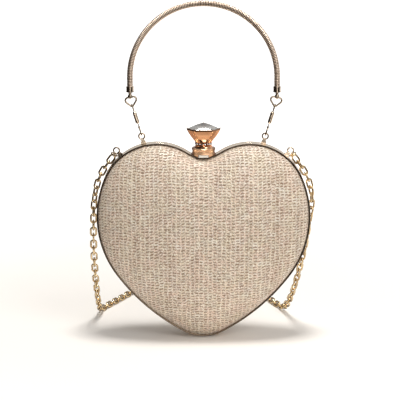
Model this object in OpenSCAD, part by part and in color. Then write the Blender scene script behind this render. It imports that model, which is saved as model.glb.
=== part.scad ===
// Heart shaped evening purse. Two domed, cloth covered pans sit in rounded metal frames that
// are hinged at the tip of the heart and held shut by a jewelled lever clasp in the notch.
// A ribbed arch handle hangs on two wire links, and a shoulder chain runs behind the purse.
//
// Every piece is drawn with the lowest point of the tip on z = 0, the parting plane on y = 0
// and the front at negative y. Then hung() moves it so that the origin is the middle of the
// handle's arch, where a hand or a hook holds the purse.

/* [Heart outline] */
// Distance from the centre line to the centre of each lobe
lobe_x = 37; // [35:0.5:40]
// Radius of the outline round the top of each lobe
lobe_r = 45; // [42:0.5:47]
// Radius of the outline down each side
side_r = 80; // [70:1:90]
// Radius of the outline along each lower flank
flank_r = 160; // [140:1:180]
// Sweep of the hollow of the notch on each side of the centre line, in degrees
notch_deg = 33; // [29:1:38]

/* [Body] */
// Depth of the closed purse over both domes
body_depth = 58; // [46:1:70]
// Thickness of the woven cover
cover_t = 0.6; // [0.4:0.1:1]
// Thickness of the stiff pan under the cover
pan_t = 1.2; // [0.8:0.1:2]
// Thickness of the lining
lining_t = 0.5; // [0.3:0.1:0.8]
// Clear gap between soft layers and what they lie in
layer_gap = 0.15; // [0.1:0.05:0.3]

/* [Frame] */
// Depth of each frame half, from the parting plane to its outer edge
frame_d = 6; // [5:0.1:7]
// Thickness of the rounded outer lip of the frame
lip_t = 1.2; // [1:0.1:2]
// Depth of the inner flange that the pan sits on
flange_d = 2.4; // [2:0.1:3]
// Gap between the closed frame halves
parting_gap = 0.3; // [0.2:0.05:0.5]

/* [Tip hinge] */
// Outer radius of the hinge barrel, whose underside is the lowest point of the purse
barrel_r = 2.2; // [1.8:0.1:2.8]
// Radius of the hinge pin
hinge_pin_r = 0.8; // [0.6:0.05:1.2]
// Thickness of the hinge leaves
leaf_t = 0.8; // [0.6:0.1:1.2]
// Radius of the rivets that hold the hinge leaves
rivet_r = 0.7; // [0.5:0.05:0.9]

/* [Clasp] */
// Radius of the clasp base where it sits on the frame
base_r = 9.7; // [9.2:0.1:11]
// Radius of the ball joint that carries the jewel
ball_r = 7.6; // [6.8:0.1:8.2]
// Height of the lever's pivot over the bottom of the notch
pivot_h = 5; // [4.8:0.1:6]
// Radius of the pivot pin
pivot_pin_r = 0.8; // [0.6:0.05:1]
// Width of the striker plate on the front frame
striker_w = 7.6; // [6:0.1:9]
// Width of the lever stem and its hook
stem_w = 3; // [2.4:0.1:4]
// Overlap of the hook and the lip of the catch spring
catch_depth = 0.7; // [0.5:0.05:0.8]
// Angle by which the lever tilts back to free the front half
tilt_deg = 15; // [12:0.5:16]

/* [Jewel] */
// Radius of the neck under the jewel cup
neck_r = 6.6; // [6:0.1:7.2]
// Radius of the jewel cup at its rim
cup_r = 13.5; // [11:0.1:15]
// Height of the jewel cup from the foot of its neck to its rim
cup_h = 14; // [12:0.1:16]
// Height of the stone's crown over the cup's rim
crown_h = 5.5; // [4:0.1:8]
// Radius of the beads round the neck
bead_r = 0.9; // [0.6:0.05:1.1]

/* [Lugs] */
// Outer radius of each lug ring
lug_ring_r = 3; // [2.8:0.1:4]
// Radius of the wire of each lug ring
lug_wire_r = 0.65; // [0.5:0.05:0.8]
// Height of the centre of each handle lug's ring over the frame
handle_lug_h = 6.3; // [5.4:0.1:8]
// Height of the centre of each chain lug's ring over the frame
chain_lug_h = 5; // [4.8:0.1:8]
// Width of the foot of each lug
lug_foot_w = 4; // [3:0.1:5]
// Radius of the peg of each lug
lug_peg_r = 0.8; // [0.6:0.05:0.9]
// Direction of the handle lugs round the lobe, in degrees from the side
handle_lug_deg = 76.5; // [70:0.5:84]
// Direction of the chain lugs round the lobe, in degrees from the side
chain_lug_deg = 50; // [40:1:55]

/* [Handle] */
// Radius of the arch along the centre of its tube
arch_r = 58; // [52:0.2:66]
// Outer radius of the ribbed tube
tube_r = 2.5; // [2:0.1:3.2]
// Radius of the bore of the ribbed tube
tube_bore_r = 1.3; // [1:0.1:1.5]
// Distance between the ribs of the tube
rib_pitch = 1.25; // [1.2:0.05:1.6]
// Depth of the groove between two ribs
rib_depth = 0.4; // [0.2:0.05:0.6]
// Length of the straight legs under the arch
leg_len = 10.6; // [6:0.1:14]
// Length of the ferrule on each leg
ferrule_len = 4.4; // [3.6:0.1:6]
// Wall of the ferrule round the tube
ferrule_wall = 0.4; // [0.3:0.05:0.8]
// Radius of the ball under each ferrule
neck_ball_r = 1.9; // [1.5:0.1:2.4]
// Lean of each heart ring towards the middle, in degrees
ring_lean = 12; // [8:1:16]

/* [Heart rings] */
// Radius of the lobes of each heart ring, along its wire
ring_lobe_r = 2.3; // [2:0.1:2.8]
// Distance from the ring's lobe centres to its bottom point, along its wire
ring_drop = 5.8; // [5:0.1:7]
// Radius of the wire of each heart ring
ring_wire_r = 0.6; // [0.5:0.05:0.7]
// Radius of the bottom point of each heart ring, along its wire
ring_point_r = 1.2; // [1:0.1:1.6]

/* [Links] */
// Radius of the wire of the swinging links
link_wire_r = 0.5; // [0.4:0.05:0.6]
// Inner width of the eyes at both ends of the links
eye_w = 2.2; // [2:0.1:2.8]
// Inner length of the eyes at both ends of the links
eye_len = 4.6; // [4:0.1:6]
// Length of the bare wire under the sleeve
stem_len = 4.45; // [3.5:0.05:8]
// Length of the sleeve on each link
sleeve_len = 9.6; // [7:0.1:12]
// Outer radius of the sleeve on each link
sleeve_r = 1.6; // [1.2:0.1:2]

/* [Shoulder chain] */
// Inner length of a chain link
chain_in_len = 6.2; // [6:0.1:6.5]
// Inner width of a chain link
chain_in_w = 2.8; // [2.6:0.1:3.2]
// Diameter of the wire of the chain
chain_wire_d = 1.6; // [1.4:0.1:1.7]
// Slack between two links, along the chain
chain_slack = 0.2; // [0.1:0.05:0.3]
// Radius of the end rings of the chain, along their wire
end_ring_r = 2.6; // [2.4:0.1:3.2]
// Radius of the wire of the end rings
end_ring_wire_r = 0.6; // [0.5:0.05:0.7]

/* [Clearances] */
// Gap between pieces that are seated but move apart
seat_gap = 0.3; // [0.2:0.05:0.5]
// Running clearance of pins, rivets and pegs in their bores
fit_gap = 0.05; // [0.03:0.01:0.08]

/* [Hidden] */
$fn = 48;

GOLD = [0.86, 0.74, 0.50];
CHAMPAGNE = [0.83, 0.76, 0.64];
ROSE = [0.86, 0.62, 0.48];
CLOTH = [0.77, 0.70, 0.61];
LINING = [0.80, 0.74, 0.66];

// Where the outline's arcs meet, as the direction of its outward normal in degrees
lobe_end_deg = 25;
side_end_deg = -36;
flank_end_deg = -62;
// Straight steps in the notch, lobe, side, flank and tip of one half of the outline
arc_steps = [3, 12, 7, 4, 2];

// Overrun of every cut
over = 1;

// A unit vector at an angle, in the plane of the outline
function unit(a) = [cos(a), sin(a)];

// Centres of the outline's arcs, first from the lobe's centre, then over the tip
side_off = (lobe_r - side_r) * unit(lobe_end_deg);
flank_off = side_off + (side_r - flank_r) * unit(side_end_deg);
tip_r = flank_r + (lobe_x + flank_off.x) / cos(flank_end_deg);
tip_off = flank_off + (flank_r - tip_r) * unit(flank_end_deg);
lobe_c = [lobe_x, tip_r - tip_off.y];
side_c = lobe_c + side_off;
flank_c = lobe_c + flank_off;
tip_c = [0, tip_r];
notch_r = lobe_x / sin(notch_deg) - lobe_r;
notch_c = [0, lobe_c.y + (lobe_r + notch_r) * cos(notch_deg)];
notch_z = notch_c.y - notch_r;
lobe_top = lobe_c.y + lobe_r;

// One station of the outline: place and outward normal. A hollow arc has a negative radius.
function station(c, r, a) = [c.x + r * cos(a), c.y + r * sin(a), cos(a), sin(a)];
function arc_stations(c, r, a0, a1, n) =
    [for (i = [0:n - 1]) station(c, r, a0 + (a1 - a0) * i / n)];
right_half = concat(
    arc_stations(notch_c, -notch_r, 90, 90 + notch_deg, arc_steps[0]),
    arc_stations(lobe_c, lobe_r, 90 + notch_deg, lobe_end_deg, arc_steps[1]),
    arc_stations(side_c, side_r, lobe_end_deg, side_end_deg, arc_steps[2]),
    arc_stations(flank_c, flank_r, side_end_deg, flank_end_deg, arc_steps[3]),
    arc_stations(tip_c, tip_r, flank_end_deg, -90, arc_steps[4]),
    [station(tip_c, tip_r, -90)]
);
half_count = len(right_half);
function flipped(s) = [-s[0], s[1], -s[2], s[3]];
outline = concat(
    right_half,
    [for (i = [half_count - 2:-1:1]) flipped(right_half[i])]
);
count = len(outline);

// First and last stations of the gussets
gusset_first = arc_steps[0] + arc_steps[1] - 2;
gusset_last = half_count - arc_steps[4] - 2;

// A point of the outline moved along its normal by u and back by y
function rim_point(s, u, y) = [s[0] + u * s[2], y, s[1] + u * s[3]];

// Faces between rings of m points each, with the rings in a closed loop or with two ends
function strip_faces(n, m, closed) = [
    for (i = [0:n - (closed ? 1 : 2)], j = [0:m - 1])
        let (a = i * m + j, b = i * m + (j + 1) % m)
        let (c = ((i + 1) % n) * m + (j + 1) % m, d = ((i + 1) % n) * m + j)
            each [[a, b, c], [a, c, d]]
];
// Faces that close the first and the last ring of an open strip to their own middle points
function end_faces(n, m) = concat(
    [for (j = [0:m - 1]) [n * m, (j + 1) % m, j]],
    [for (j = [0:m - 1]) [n * m + 1, (n - 1) * m + j, (n - 1) * m + (j + 1) % m]]
);

// Frame sizes that follow from the layers
seat_y = flange_d + layer_gap / 3;
cover_in = lip_t + layer_gap;
pan_in = cover_in + cover_t + layer_gap;
lining_in = pan_in + pan_t + layer_gap;
flange_w = lining_in + lining_t;
parting_y = parting_gap / 2;

// Section of the frame: outward along the normal, then back from the parting plane
lip_shares = [[-0.30, 0], [-0.06, 0.08], [0, 0.26], [0, 0.66], [-0.14, 0.88], [-0.50, 1], [-0.86, 0.95]];
function frame_section() = concat(
    [for (s = lip_shares) [s[0] * lip_t, parting_y + s[1] * (frame_d - parting_y)]],
    [
        [-lip_t, flange_d + lip_t],
        [-lip_t, flange_d],
        [-flange_w, flange_d],
        [-flange_w, parting_y]
    ]
);

// The dome blends from the heart at its rim to an oval at its middle
dome_c = [0, lobe_top * 0.555];
oval_shares = [0.44, 0.39];
dome_power = 2.35;
dome_turns = [0, 13, 27, 42, 58, 74];

function dome_point(s, inset, depth, turn) =
    let (k = pow(cos(turn), 2 / dome_power))
    let (h = pow(sin(turn), 2 / dome_power))
    let (rim = [s[0] - inset * s[2], s[1] - inset * s[3]] - dome_c)
    let (way = rim / norm(rim))
    let (oval = 1 / norm([way.x / oval_shares.x, way.y / oval_shares.y]) * lobe_top)
    let (reach = k * (k * norm(rim) + (1 - k) * oval))
    [dome_c.x + reach * way.x, seat_y + h * depth, dome_c.y + reach * way.y];

// A domed layer: its outer skin, then its inner skin, joined at the rim
module dome_layer(inset, thick) {
    depth = body_depth / 2 - seat_y - (inset - cover_in);
    rings = len(dome_turns);
    last = 2 * rings * count;
    points = concat(
        [for (t = dome_turns, s = outline) dome_point(s, inset, depth, t)],
        [for (t = dome_turns, s = outline) dome_point(s, inset + thick, depth - thick, t)],
        [[dome_c.x, seat_y + depth, dome_c.y], [dome_c.x, seat_y + depth - thick, dome_c.y]]
    );
    function skin(start, up) = [
        for (i = [0:rings - 2], j = [0:count - 1])
            let (a = start + i * count + j, b = start + i * count + (j + 1) % count)
            let (c = b + count, d = a + count)
                each up ? [[a, c, b], [a, d, c]] : [[a, b, c], [a, c, d]]
    ];
    function cap(start, top, up) = [
        for (j = [0:count - 1])
            let (a = start + (rings - 1) * count + j)
            let (b = start + (rings - 1) * count + (j + 1) % count)
                up ? [b, a, top] : [a, b, top]
    ];
    function rim() = [
        for (j = [0:count - 1])
            let (a = j, b = (j + 1) % count, c = rings * count + (j + 1) % count, d = rings * count + j)
                each [[a, b, c], [a, c, d]]
    ];
    polyhedron(
        points,
        concat(
            skin(0, true), cap(0, last, true), skin(rings * count, false),
            cap(rings * count, last + 1, false), rim()
        ),
        convexity = 4
    );
}

// Handle, links and lugs
lug_y = parting_y + (flange_d - parting_y) / 2;
lug_wire_c = lug_ring_r - lug_wire_r;
function lug_ring_centre(deg, h) =
    [lobe_c.x + (lobe_r + h) * cos(deg), lug_y, lobe_c.y + (lobe_r + h) * sin(deg)];
handle_ring_c = lug_ring_centre(handle_lug_deg, handle_lug_h);
chain_ring_c = lug_ring_centre(chain_lug_deg, chain_lug_h);
low_pivot = [
    handle_ring_c.x + lug_wire_c * cos(handle_lug_deg), lug_y,
    handle_ring_c.z + lug_wire_c * sin(handle_lug_deg)
];
// Length of a link from pivot to pivot, and how far it rises
eye_reach = eye_len - eye_w / 2 + link_wire_r;
link_body = sleeve_len + stem_len + link_wire_r + fit_gap;
link_span = link_body + 2 * eye_reach;
// The heart ring hangs from its ferrule, so the link reaches from the lug to its point
ring_reach = ring_drop + ring_lobe_r * 0.44 + neck_ball_r;
high_pivot_x = arch_r - ring_reach * sin(ring_lean);
link_rise = sqrt(pow(link_span, 2) - pow(high_pivot_x - low_pivot.x, 2));
high_pivot = [high_pivot_x, lug_y, low_pivot.z + link_rise];
link_lean = atan2(high_pivot.x - low_pivot.x, link_rise);
ball_z = high_pivot.z + ring_reach * cos(ring_lean);
ferrule_z = ball_z + neck_ball_r * 1.5;
tube_end_z = ferrule_z + ferrule_len * 0.3;
arch_z = tube_end_z + leg_len;
grip_z = arch_z + arch_r;

// Moves the drawing so that the origin is the middle of the arch
module hung() {
    translate([0, -lug_y, -grip_z]) children();
}

module frame_half() {
    section = frame_section();
    polyhedron(
        [for (s = outline, p = section) rim_point(s, p.x, p.y)],
        strip_faces(count, len(section), true),
        convexity = 6
    );
}

// Turns a drawing made with +Z outwards so that it stands on the lobe of the outline
module on_lobe(deg) {
    translate([lobe_c.x, lug_y, lobe_c.y])
        rotate([0, 90 - deg, 0])
            translate([0, 0, lobe_r])
                children();
}

module mirrored_pair() {
    children();
    mirror([1, 0, 0]) children();
}

// The barrel reaches as far along X as the outline lies below the pin
barrel_half = sqrt(pow(tip_r, 2) - pow(tip_r - barrel_r, 2));
knuckles = 5;
knuckle_gap = seat_gap / 2;
knuckle_len = 2 * barrel_half / knuckles - knuckle_gap;

// Hinge rivets stand past the barrel, square to the middle of a facet of the frame
function inner_point(s, gap) = [s[0] - (flange_w + gap) * s[2], s[1] - (flange_w + gap) * s[3]];
rivet_least_x = barrel_half + 1.6 * rivet_r + seat_gap;
rivet_facet = [
    for (i = [half_count - 1:-1:gusset_last + 1])
        let (a = inner_point(right_half[i - 1], 0), b = inner_point(right_half[i], 0))
            if ((a.x + b.x) / 2 > rivet_least_x) [a, b]
][0];
rivet_spot = (rivet_facet[0] + rivet_facet[1]) / 2;
rivet_run = rivet_facet[0] - rivet_facet[1];
leaf_half = rivet_spot.x + 2 * rivet_r;
screw_x = base_r * 0.72;
screw_r = rivet_r;
striker_rivet_x = striker_w * 0.28;

// Room for the barrel, and for the webs that join it to the leaves
module barrel_room() {
    half = barrel_half + seat_gap;
    translate([-half, 0, barrel_r])
        rotate([0, 90, 0])
            cylinder(r = barrel_r + 1.6 * seat_gap, h = 2 * half);
    translate([-half, -over, -over])
        cube([2 * half, barrel_r + seat_gap + over, 2 * flange_w + over]);
}

// Turns a drawing with +Z outwards so that it stands on the flange at both rivets
module at_rivets() {
    mirrored_pair()
        translate([rivet_spot.x, lug_y, rivet_spot.y])
            rotate([0, atan2(rivet_run.y, -rivet_run.x), 0])
                children();
}

module hinge_rivet_bores() {
    at_rivets()
        translate([0, 0, -over])
            cylinder(r = rivet_r + fit_gap, h = flange_w + 2 * over);
}

module frame_back() {
    color(CHAMPAGNE)
    hung()
    difference() {
        frame_half();
        barrel_room();
        hinge_rivet_bores();
        mirrored_pair() {
            on_lobe(handle_lug_deg)
                translate([0, 0, -flange_w - over])
                    cylinder(r = lug_peg_r + fit_gap, h = flange_w + 2 * over);
            on_lobe(chain_lug_deg)
                translate([0, 0, -flange_w - over])
                    cylinder(r = lug_peg_r + fit_gap, h = flange_w + 2 * over);
            translate([screw_x, lug_y, notch_z - 2 * flange_w])
                cylinder(r = screw_r + fit_gap, h = 4 * flange_w);
        }
    }
}

module frame_front() {
    color(CHAMPAGNE)
    hung()
    mirror([0, 1, 0])
    difference() {
        frame_half();
        barrel_room();
        hinge_rivet_bores();
        mirrored_pair()
            translate([striker_rivet_x, lug_y, notch_z - 2 * flange_w])
                cylinder(r = rivet_r + fit_gap, h = 4 * flange_w);
    }
}

module cover() {
    color(CLOTH) dome_layer(cover_in, cover_t);
}

module pan() {
    color("gray") dome_layer(pan_in, pan_t);
}

module lining() {
    color(LINING) dome_layer(lining_in, lining_t);
}

module cover_back() {
    hung() cover();
}

module pan_back() {
    hung() pan();
}

module lining_back() {
    hung() lining();
}

module cover_front() {
    hung() mirror([0, 1, 0]) cover();
}

module pan_front() {
    hung() mirror([0, 1, 0]) pan();
}

module lining_front() {
    hung() mirror([0, 1, 0]) lining();
}

// A wire ring in the plane of X and Z
module wire_ring(r, wire_r) {
    rotate([90, 0, 0])
        rotate_extrude()
            translate([r, 0])
                circle(r = wire_r, $fn = 24);
}

// A lug: a ring on a tapered foot, with a peg that is riveted inside the frame
module lug(h) {
    foot_h = h - lug_ring_r + lug_wire_r;
    foot_d = flange_d - parting_y - fit_gap;
    translate([0, 0, h]) wire_ring(lug_wire_c, lug_wire_r);
    translate([0, foot_d / 2, 0])
        rotate([90, 0, 0])
            linear_extrude(height = foot_d)
                polygon([
                    [-lug_foot_w / 2, fit_gap],
                    [lug_foot_w / 2, fit_gap],
                    [lug_foot_w / 2, foot_h / 3],
                    [lug_foot_w / 4, foot_h],
                    [-lug_foot_w / 4, foot_h],
                    [-lug_foot_w / 2, foot_h / 3]
                ]);
    translate([0, 0, -flange_w - peg_head_h - peg_head_drop])
        cylinder(r = lug_peg_r, h = flange_w + peg_head_h + peg_head_drop + foot_h / 2);
    translate([0, 0, -flange_w - peg_head_h - peg_head_drop])
        cylinder(r = lug_foot_w / 3, h = peg_head_h);
}

// Peened head inside the frame, dropped clear of the flange's facets
peg_head_h = lug_peg_r * 0.6;
lobe_step = (90 + notch_deg - lobe_end_deg) / arc_steps[1];
peg_head_drop = fit_gap + (lobe_r - flange_w) * (1 - cos(lobe_step / 2));

module handle_lug_right() {
    color(CHAMPAGNE) hung() on_lobe(handle_lug_deg) lug(handle_lug_h);
}

module handle_lug_left() {
    color(CHAMPAGNE) hung() mirror([1, 0, 0]) on_lobe(handle_lug_deg) lug(handle_lug_h);
}

module chain_lug_right() {
    color(CHAMPAGNE) hung() on_lobe(chain_lug_deg) lug(chain_lug_h);
}

module chain_lug_left() {
    color(CHAMPAGNE) hung() mirror([1, 0, 0]) on_lobe(chain_lug_deg) lug(chain_lug_h);
}

// Hinge at the tip
function knuckle_x(index) = -barrel_half + (index + 0.5) * 2 * barrel_half / knuckles - knuckle_len / 2;
module knuckle(index) {
    translate([knuckle_x(index), 0, barrel_r])
        rotate([0, 90, 0])
            cylinder(r = barrel_r, h = knuckle_len);
}

// A bar along Y below a line that follows the frame's inner edge at a gap
module under_flange(gap, y, len) {
    side = [for (i = [gusset_last:half_count - 1]) inner_point(right_half[i], gap)];
    last = len(side) - 1;
    translate([0, y + len, 0])
        rotate([90, 0, 0])
            linear_extrude(height = len)
                polygon(concat(
                    [[side[0].x, barrel_r]],
                    side,
                    [for (i = [last - 1:-1:0]) [-side[i].x, side[i].y]],
                    [[-side[0].x, barrel_r]]
                ));
}

module hinge_leaf(first) {
    inner = fit_gap + leaf_t;
    difference() {
        union() {
            difference() {
                intersection() {
                    under_flange(inner, parting_y, flange_d - parting_y);
                    translate([-leaf_half, 0, 0])
                        cube([2 * leaf_half, flange_d, 4 * flange_w]);
                }
                translate([0, -over, 0])
                    under_flange(fit_gap, parting_y, flange_d + over);
            }
            for (i = [first:2:knuckles - 1]) {
                knuckle(i);
                intersection() {
                    under_flange(fit_gap + leaf_t / 2, parting_y, barrel_r - parting_y);
                    translate([knuckle_x(i), 0, 0])
                        cube([knuckle_len, barrel_r, 4 * flange_w]);
                }
            }
        }
        // Room for the other leaf's knuckles
        for (i = [1 - first:2:knuckles - 1])
            translate([knuckle_x(i) - knuckle_gap, 0, barrel_r])
                rotate([0, 90, 0])
                    cylinder(r = barrel_r + seat_gap, h = knuckle_len + 2 * knuckle_gap);
        translate([-barrel_half - over, 0, barrel_r])
            rotate([0, 90, 0])
                cylinder(r = hinge_pin_r + fit_gap, h = 2 * (barrel_half + over));
        at_rivets()
            translate([0, 0, -inner - over])
                cylinder(r = rivet_r + fit_gap, h = inner + 2 * over);
    }
}

module hinge_leaf_back() {
    color(CHAMPAGNE) hung() hinge_leaf(0);
}

module hinge_leaf_front() {
    color(CHAMPAGNE) hung() mirror([0, 1, 0]) hinge_leaf(1);
}

module hinge_pin() {
    color("silver")
    hung()
    translate([-barrel_half, 0, barrel_r])
        rotate([0, 90, 0])
            cylinder(r = hinge_pin_r, h = 2 * barrel_half);
}

// Rivets through a leaf and the flange, with a head inside
module hinge_rivets() {
    inner = fit_gap + leaf_t;
    at_rivets() {
        translate([0, 0, -inner - rivet_r])
            cylinder(r = rivet_r, h = inner + rivet_r + flange_w - fit_gap - lip_t / 8);
        translate([0, 0, -inner - rivet_r - fit_gap])
            cylinder(r = 1.6 * rivet_r, h = rivet_r);
    }
}

module hinge_rivets_back() {
    color("silver") hung() hinge_rivets();
}

module hinge_rivets_front() {
    color("silver") hung() mirror([0, 1, 0]) hinge_rivets();
}

// Gussets: folded cloth between the frames, one down each side
gusset_fold = 2 * flange_w;
module gusset() {
    span = [for (i = [gusset_first:gusset_last]) right_half[i]];
    root = -flange_w - fit_gap;
    y = flange_d - layer_gap;
    section = [
        [root, y],
        [root - gusset_fold, 0],
        [root, -y],
        [root, -y + 1.4 * lining_t],
        [root - gusset_fold + 3.4 * lining_t, 0],
        [root, y - 1.4 * lining_t]
    ];
    n = len(span);
    m = len(section);
    ends = concat(
        [for (e = [0, n - 1])
            rim_point(span[e], root - gusset_fold + 1.7 * lining_t, 0)]
    );
    polyhedron(
        concat([for (s = span, p = section) rim_point(s, p.x, p.y)], ends),
        concat(strip_faces(n, m, false), end_faces(n, m)),
        convexity = 6
    );
}

module gusset_right() {
    color(LINING) hung() gusset();
}

module gusset_left() {
    color(LINING) hung() mirror([1, 0, 0]) gusset();
}

// Clasp
pivot_z = notch_z + pivot_h;
base_top = pivot_z + ball_r * 0.27;
ball_gap = seat_gap;
cheek_in = ball_r * 0.62;
cheek_r = 2 * pivot_pin_r;

// A round bar on the lever's axis that starts at x
module on_pin(x, r, len) {
    translate([x, 0, pivot_z])
        rotate([0, 90, 0])
            cylinder(r = r, h = len);
}

// The outline of the heart, grown by a gap, as a bar along Y that ends at y
module heart_bar(grow, y, len) {
    translate([0, y, 0])
        rotate([90, 0, 0])
            linear_extrude(height = len)
                polygon([for (s = outline) [s[0] + grow * s[2], s[1] + grow * s[3]]]);
}

module clasp_base() {
    h = base_top - notch_z;
    wall_shares = [
        [1, 0], [1, 0.32], [0.955, 0.40], [0.925, 0.52], [0.925, 0.68], [0.96, 0.80], [0.98, 0.86],
        [0.98, 0.94], [0.93, 1]
    ];
    color(ROSE)
    hung()
    difference() {
        translate([0, 0, notch_z])
            rotate_extrude($fn = 96)
                polygon(concat([[0, 0]], [for (s = wall_shares) [s[0] * base_r, s[1] * h]], [[0, h]]));
        // Room for the lever, left standing round the pin
        difference() {
            union() {
                translate([0, 0, notch_z - over])
                    cylinder(r = ball_r * 0.74, h = pivot_h + ball_r * 0.2 + over);
                // The ball's rim dips below the pin behind it when the lever tilts
                translate([0, 0, pivot_z])
                    intersection() {
                        sphere(r = ball_r + ball_gap, $fn = 96);
                        union()
                            for (a = [0, -tilt_deg])
                                rotate([a, 0, 0])
                                    translate([-2 * ball_r, -2 * ball_r, 0])
                                        cube([4 * ball_r, 4 * ball_r, 2 * ball_r]);
                    }
            }
            mirrored_pair() {
                translate([cheek_in, -cheek_r, notch_z])
                    cube([ball_r, 2 * cheek_r, pivot_h]);
                on_pin(cheek_in, cheek_r, ball_r);
            }
        }
        heart_bar(fit_gap, 2 * base_r, 4 * base_r);
        heart_bar(seat_gap, parting_y, 2 * base_r);
        on_pin(-base_r, pivot_pin_r + fit_gap, 2 * base_r);
        // Slot for the striker plate, open to the front and below
        translate([-striker_w / 2 - seat_gap, -2 * base_r, notch_z - over])
            cube([striker_w + 2 * seat_gap, 2 * base_r, striker_top - notch_z + seat_gap + over]);
        mirrored_pair()
            translate([screw_x, lug_y, notch_z - over])
                cylinder(r = screw_r + fit_gap, h = pivot_h * 0.6 + over);
    }
}

module clasp_screws() {
    head_r = 1.8 * screw_r;
    color("silver")
    hung()
    mirrored_pair() {
        translate([screw_x, lug_y, screw_head_z])
            cylinder(r = screw_r, h = notch_z + pivot_h * 0.55 - screw_head_z);
        translate([screw_x, lug_y, screw_head_z - screw_r])
            cylinder(r = head_r, h = screw_r);
    }
}
// The screw heads sit under the flange where it is lowest under each head
screw_head_z = notch_c.y - sqrt(pow(notch_r + flange_w, 2) - pow(screw_x - 1.8 * screw_r, 2)) - fit_gap;

module clasp_pin() {
    color("silver")
    hung()
    on_pin(-base_r * 0.84, pivot_pin_r, 2 * base_r * 0.84);
}

// Torsion spring on the pin beside the stem, as one unbroken helix
spring_turns = 3;
spring_steps = 12;
spring_wire_r = pivot_pin_r * 0.3;
spring_r = pivot_pin_r + spring_wire_r + 2 * fit_gap;
spring_pitch = 2 * spring_wire_r + 0.3 * pivot_pin_r;
spring_least_gap = spring_pitch - 2 * spring_wire_r;
echo(spring_least_gap = spring_least_gap);
module clasp_spring() {
    n = spring_turns * spring_steps + 1;
    x0 = stem_w / 2 + seat_gap + spring_wire_r;
    function centre(i) = [
        x0 + spring_pitch * i / spring_steps,
        spring_r * cos(360 * i / spring_steps),
        spring_r * sin(360 * i / spring_steps)
    ];
    function out(i) = [0, cos(360 * i / spring_steps), sin(360 * i / spring_steps)];
    color("silver")
    hung()
    translate([0, 0, pivot_z])
        polyhedron(
            concat(
                [for (i = [0:n - 1], a = [0:60:300])
                    centre(i) + spring_wire_r * (cos(a) * out(i) + sin(a) * [1, 0, 0])],
                [centre(0), centre(n - 1)]
            ),
            concat(strip_faces(n, 6, false), end_faces(n, 6)),
            convexity = 8
        );
}

// Striker plate on the front frame, with an upturned front edge that shows in the slot
striker_t = 1.4 * leaf_t;
striker_low = notch_c.y - sqrt(pow(notch_r, 2) - pow(striker_w / 2, 2)) + seat_gap / 2;
striker_top = striker_low + 1.5 * striker_t;
module striker_plate() {
    front = base_r + seat_gap / 2;
    color(ROSE)
    hung()
    difference() {
        union() {
            translate([-striker_w / 2, -front, striker_low])
                cube([striker_w, front - parting_y, striker_t]);
            translate([-striker_w / 2, -front, striker_low])
                cube([striker_w, striker_t, striker_top - striker_low]);
        }
        mirrored_pair()
            translate([striker_rivet_x, -lug_y, striker_low - over])
                cylinder(r = rivet_r + fit_gap, h = striker_t + 2 * over);
    }
}

module striker_rivets() {
    color("silver")
    hung()
    mirrored_pair()
        translate([striker_rivet_x, -lug_y, 0]) {
            translate([0, 0, rivet_head_z - rivet_r / 2])
                cylinder(r = rivet_r, h = striker_low + striker_t - rivet_head_z + rivet_r / 2);
            translate([0, 0, rivet_head_z - rivet_r / 2])
                cylinder(r = 1.3 * rivet_r, h = rivet_r / 2);
        }
}
rivet_head_z = notch_c.y - sqrt(pow(notch_r + flange_w, 2) - pow(striker_rivet_x - 1.3 * rivet_r, 2)) - fit_gap;

// Catch spring: a leaf on the striker plate with a lip that the hook holds
hook_y = ball_r * 0.58;
lip_y = hook_y - 0.24 * ball_r;
hook_low = notch_z + 2.3 * leaf_t + 0.6 * catch_depth;
catch_t = leaf_t * 0.6;
module catch_spring() {
    color("silver")
    hung() {
        translate([-stem_w / 2, -base_r * 0.84, striker_low + striker_t + fit_gap])
            cube([stem_w, base_r * 0.84 - lug_y - 1.6 * rivet_r, catch_t]);
        translate([-stem_w / 2, -lip_y + seat_gap / 2, striker_low + striker_t + fit_gap])
            cube([stem_w, catch_t, hook_low + catch_depth - striker_low - striker_t - fit_gap]);
    }
}

// Lever stem: the ball cap that shows, the pivot eye and the hook
module lever_stem() {
    color(ROSE)
    hung()
    difference() {
        union() {
            intersection() {
                translate([0, 0, pivot_z]) sphere(r = ball_r, $fn = 96);
                translate([-2 * ball_r, -2 * ball_r, pivot_z + 0.12 * ball_r])
                    cube([4 * ball_r, 4 * ball_r, neck_z - pivot_z - 0.12 * ball_r]);
            }
            translate([0, 0, neck_z - neck_stub])
                cylinder(r = neck_r * 0.5, h = neck_stub + cup_h * 0.2);
            translate([-stem_w / 2, -2 * pivot_pin_r, pivot_z - 2 * pivot_pin_r])
                cube([stem_w, 4 * pivot_pin_r, 0.2 * ball_r + 2 * pivot_pin_r]);
            translate([-stem_w / 2, -hook_y, pivot_z - 2 * pivot_pin_r])
                cube([stem_w, hook_y, 1.1 * pivot_pin_r]);
            translate([-stem_w / 2, -hook_y, hook_low])
                cube([stem_w, hook_y - lip_y - seat_gap / 2, pivot_z - pivot_pin_r - hook_low]);
        }
        on_pin(-stem_w, pivot_pin_r + fit_gap, 2 * stem_w);
        // Room for the spring and for the cheeks that hold the pin
        mirrored_pair() on_pin(stem_w / 2, cheek_r + seat_gap, ball_r);
    }
}

// Jewel cup: a round neck with a groove for beads, then a cup that flares to a stretched hexagon
neck_z = pivot_z + 0.42 * ball_r;
neck_stub = 0.2 * ball_r;
corners = 6;
deep_share = 0.84;
groove_share = 0.8;
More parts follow.
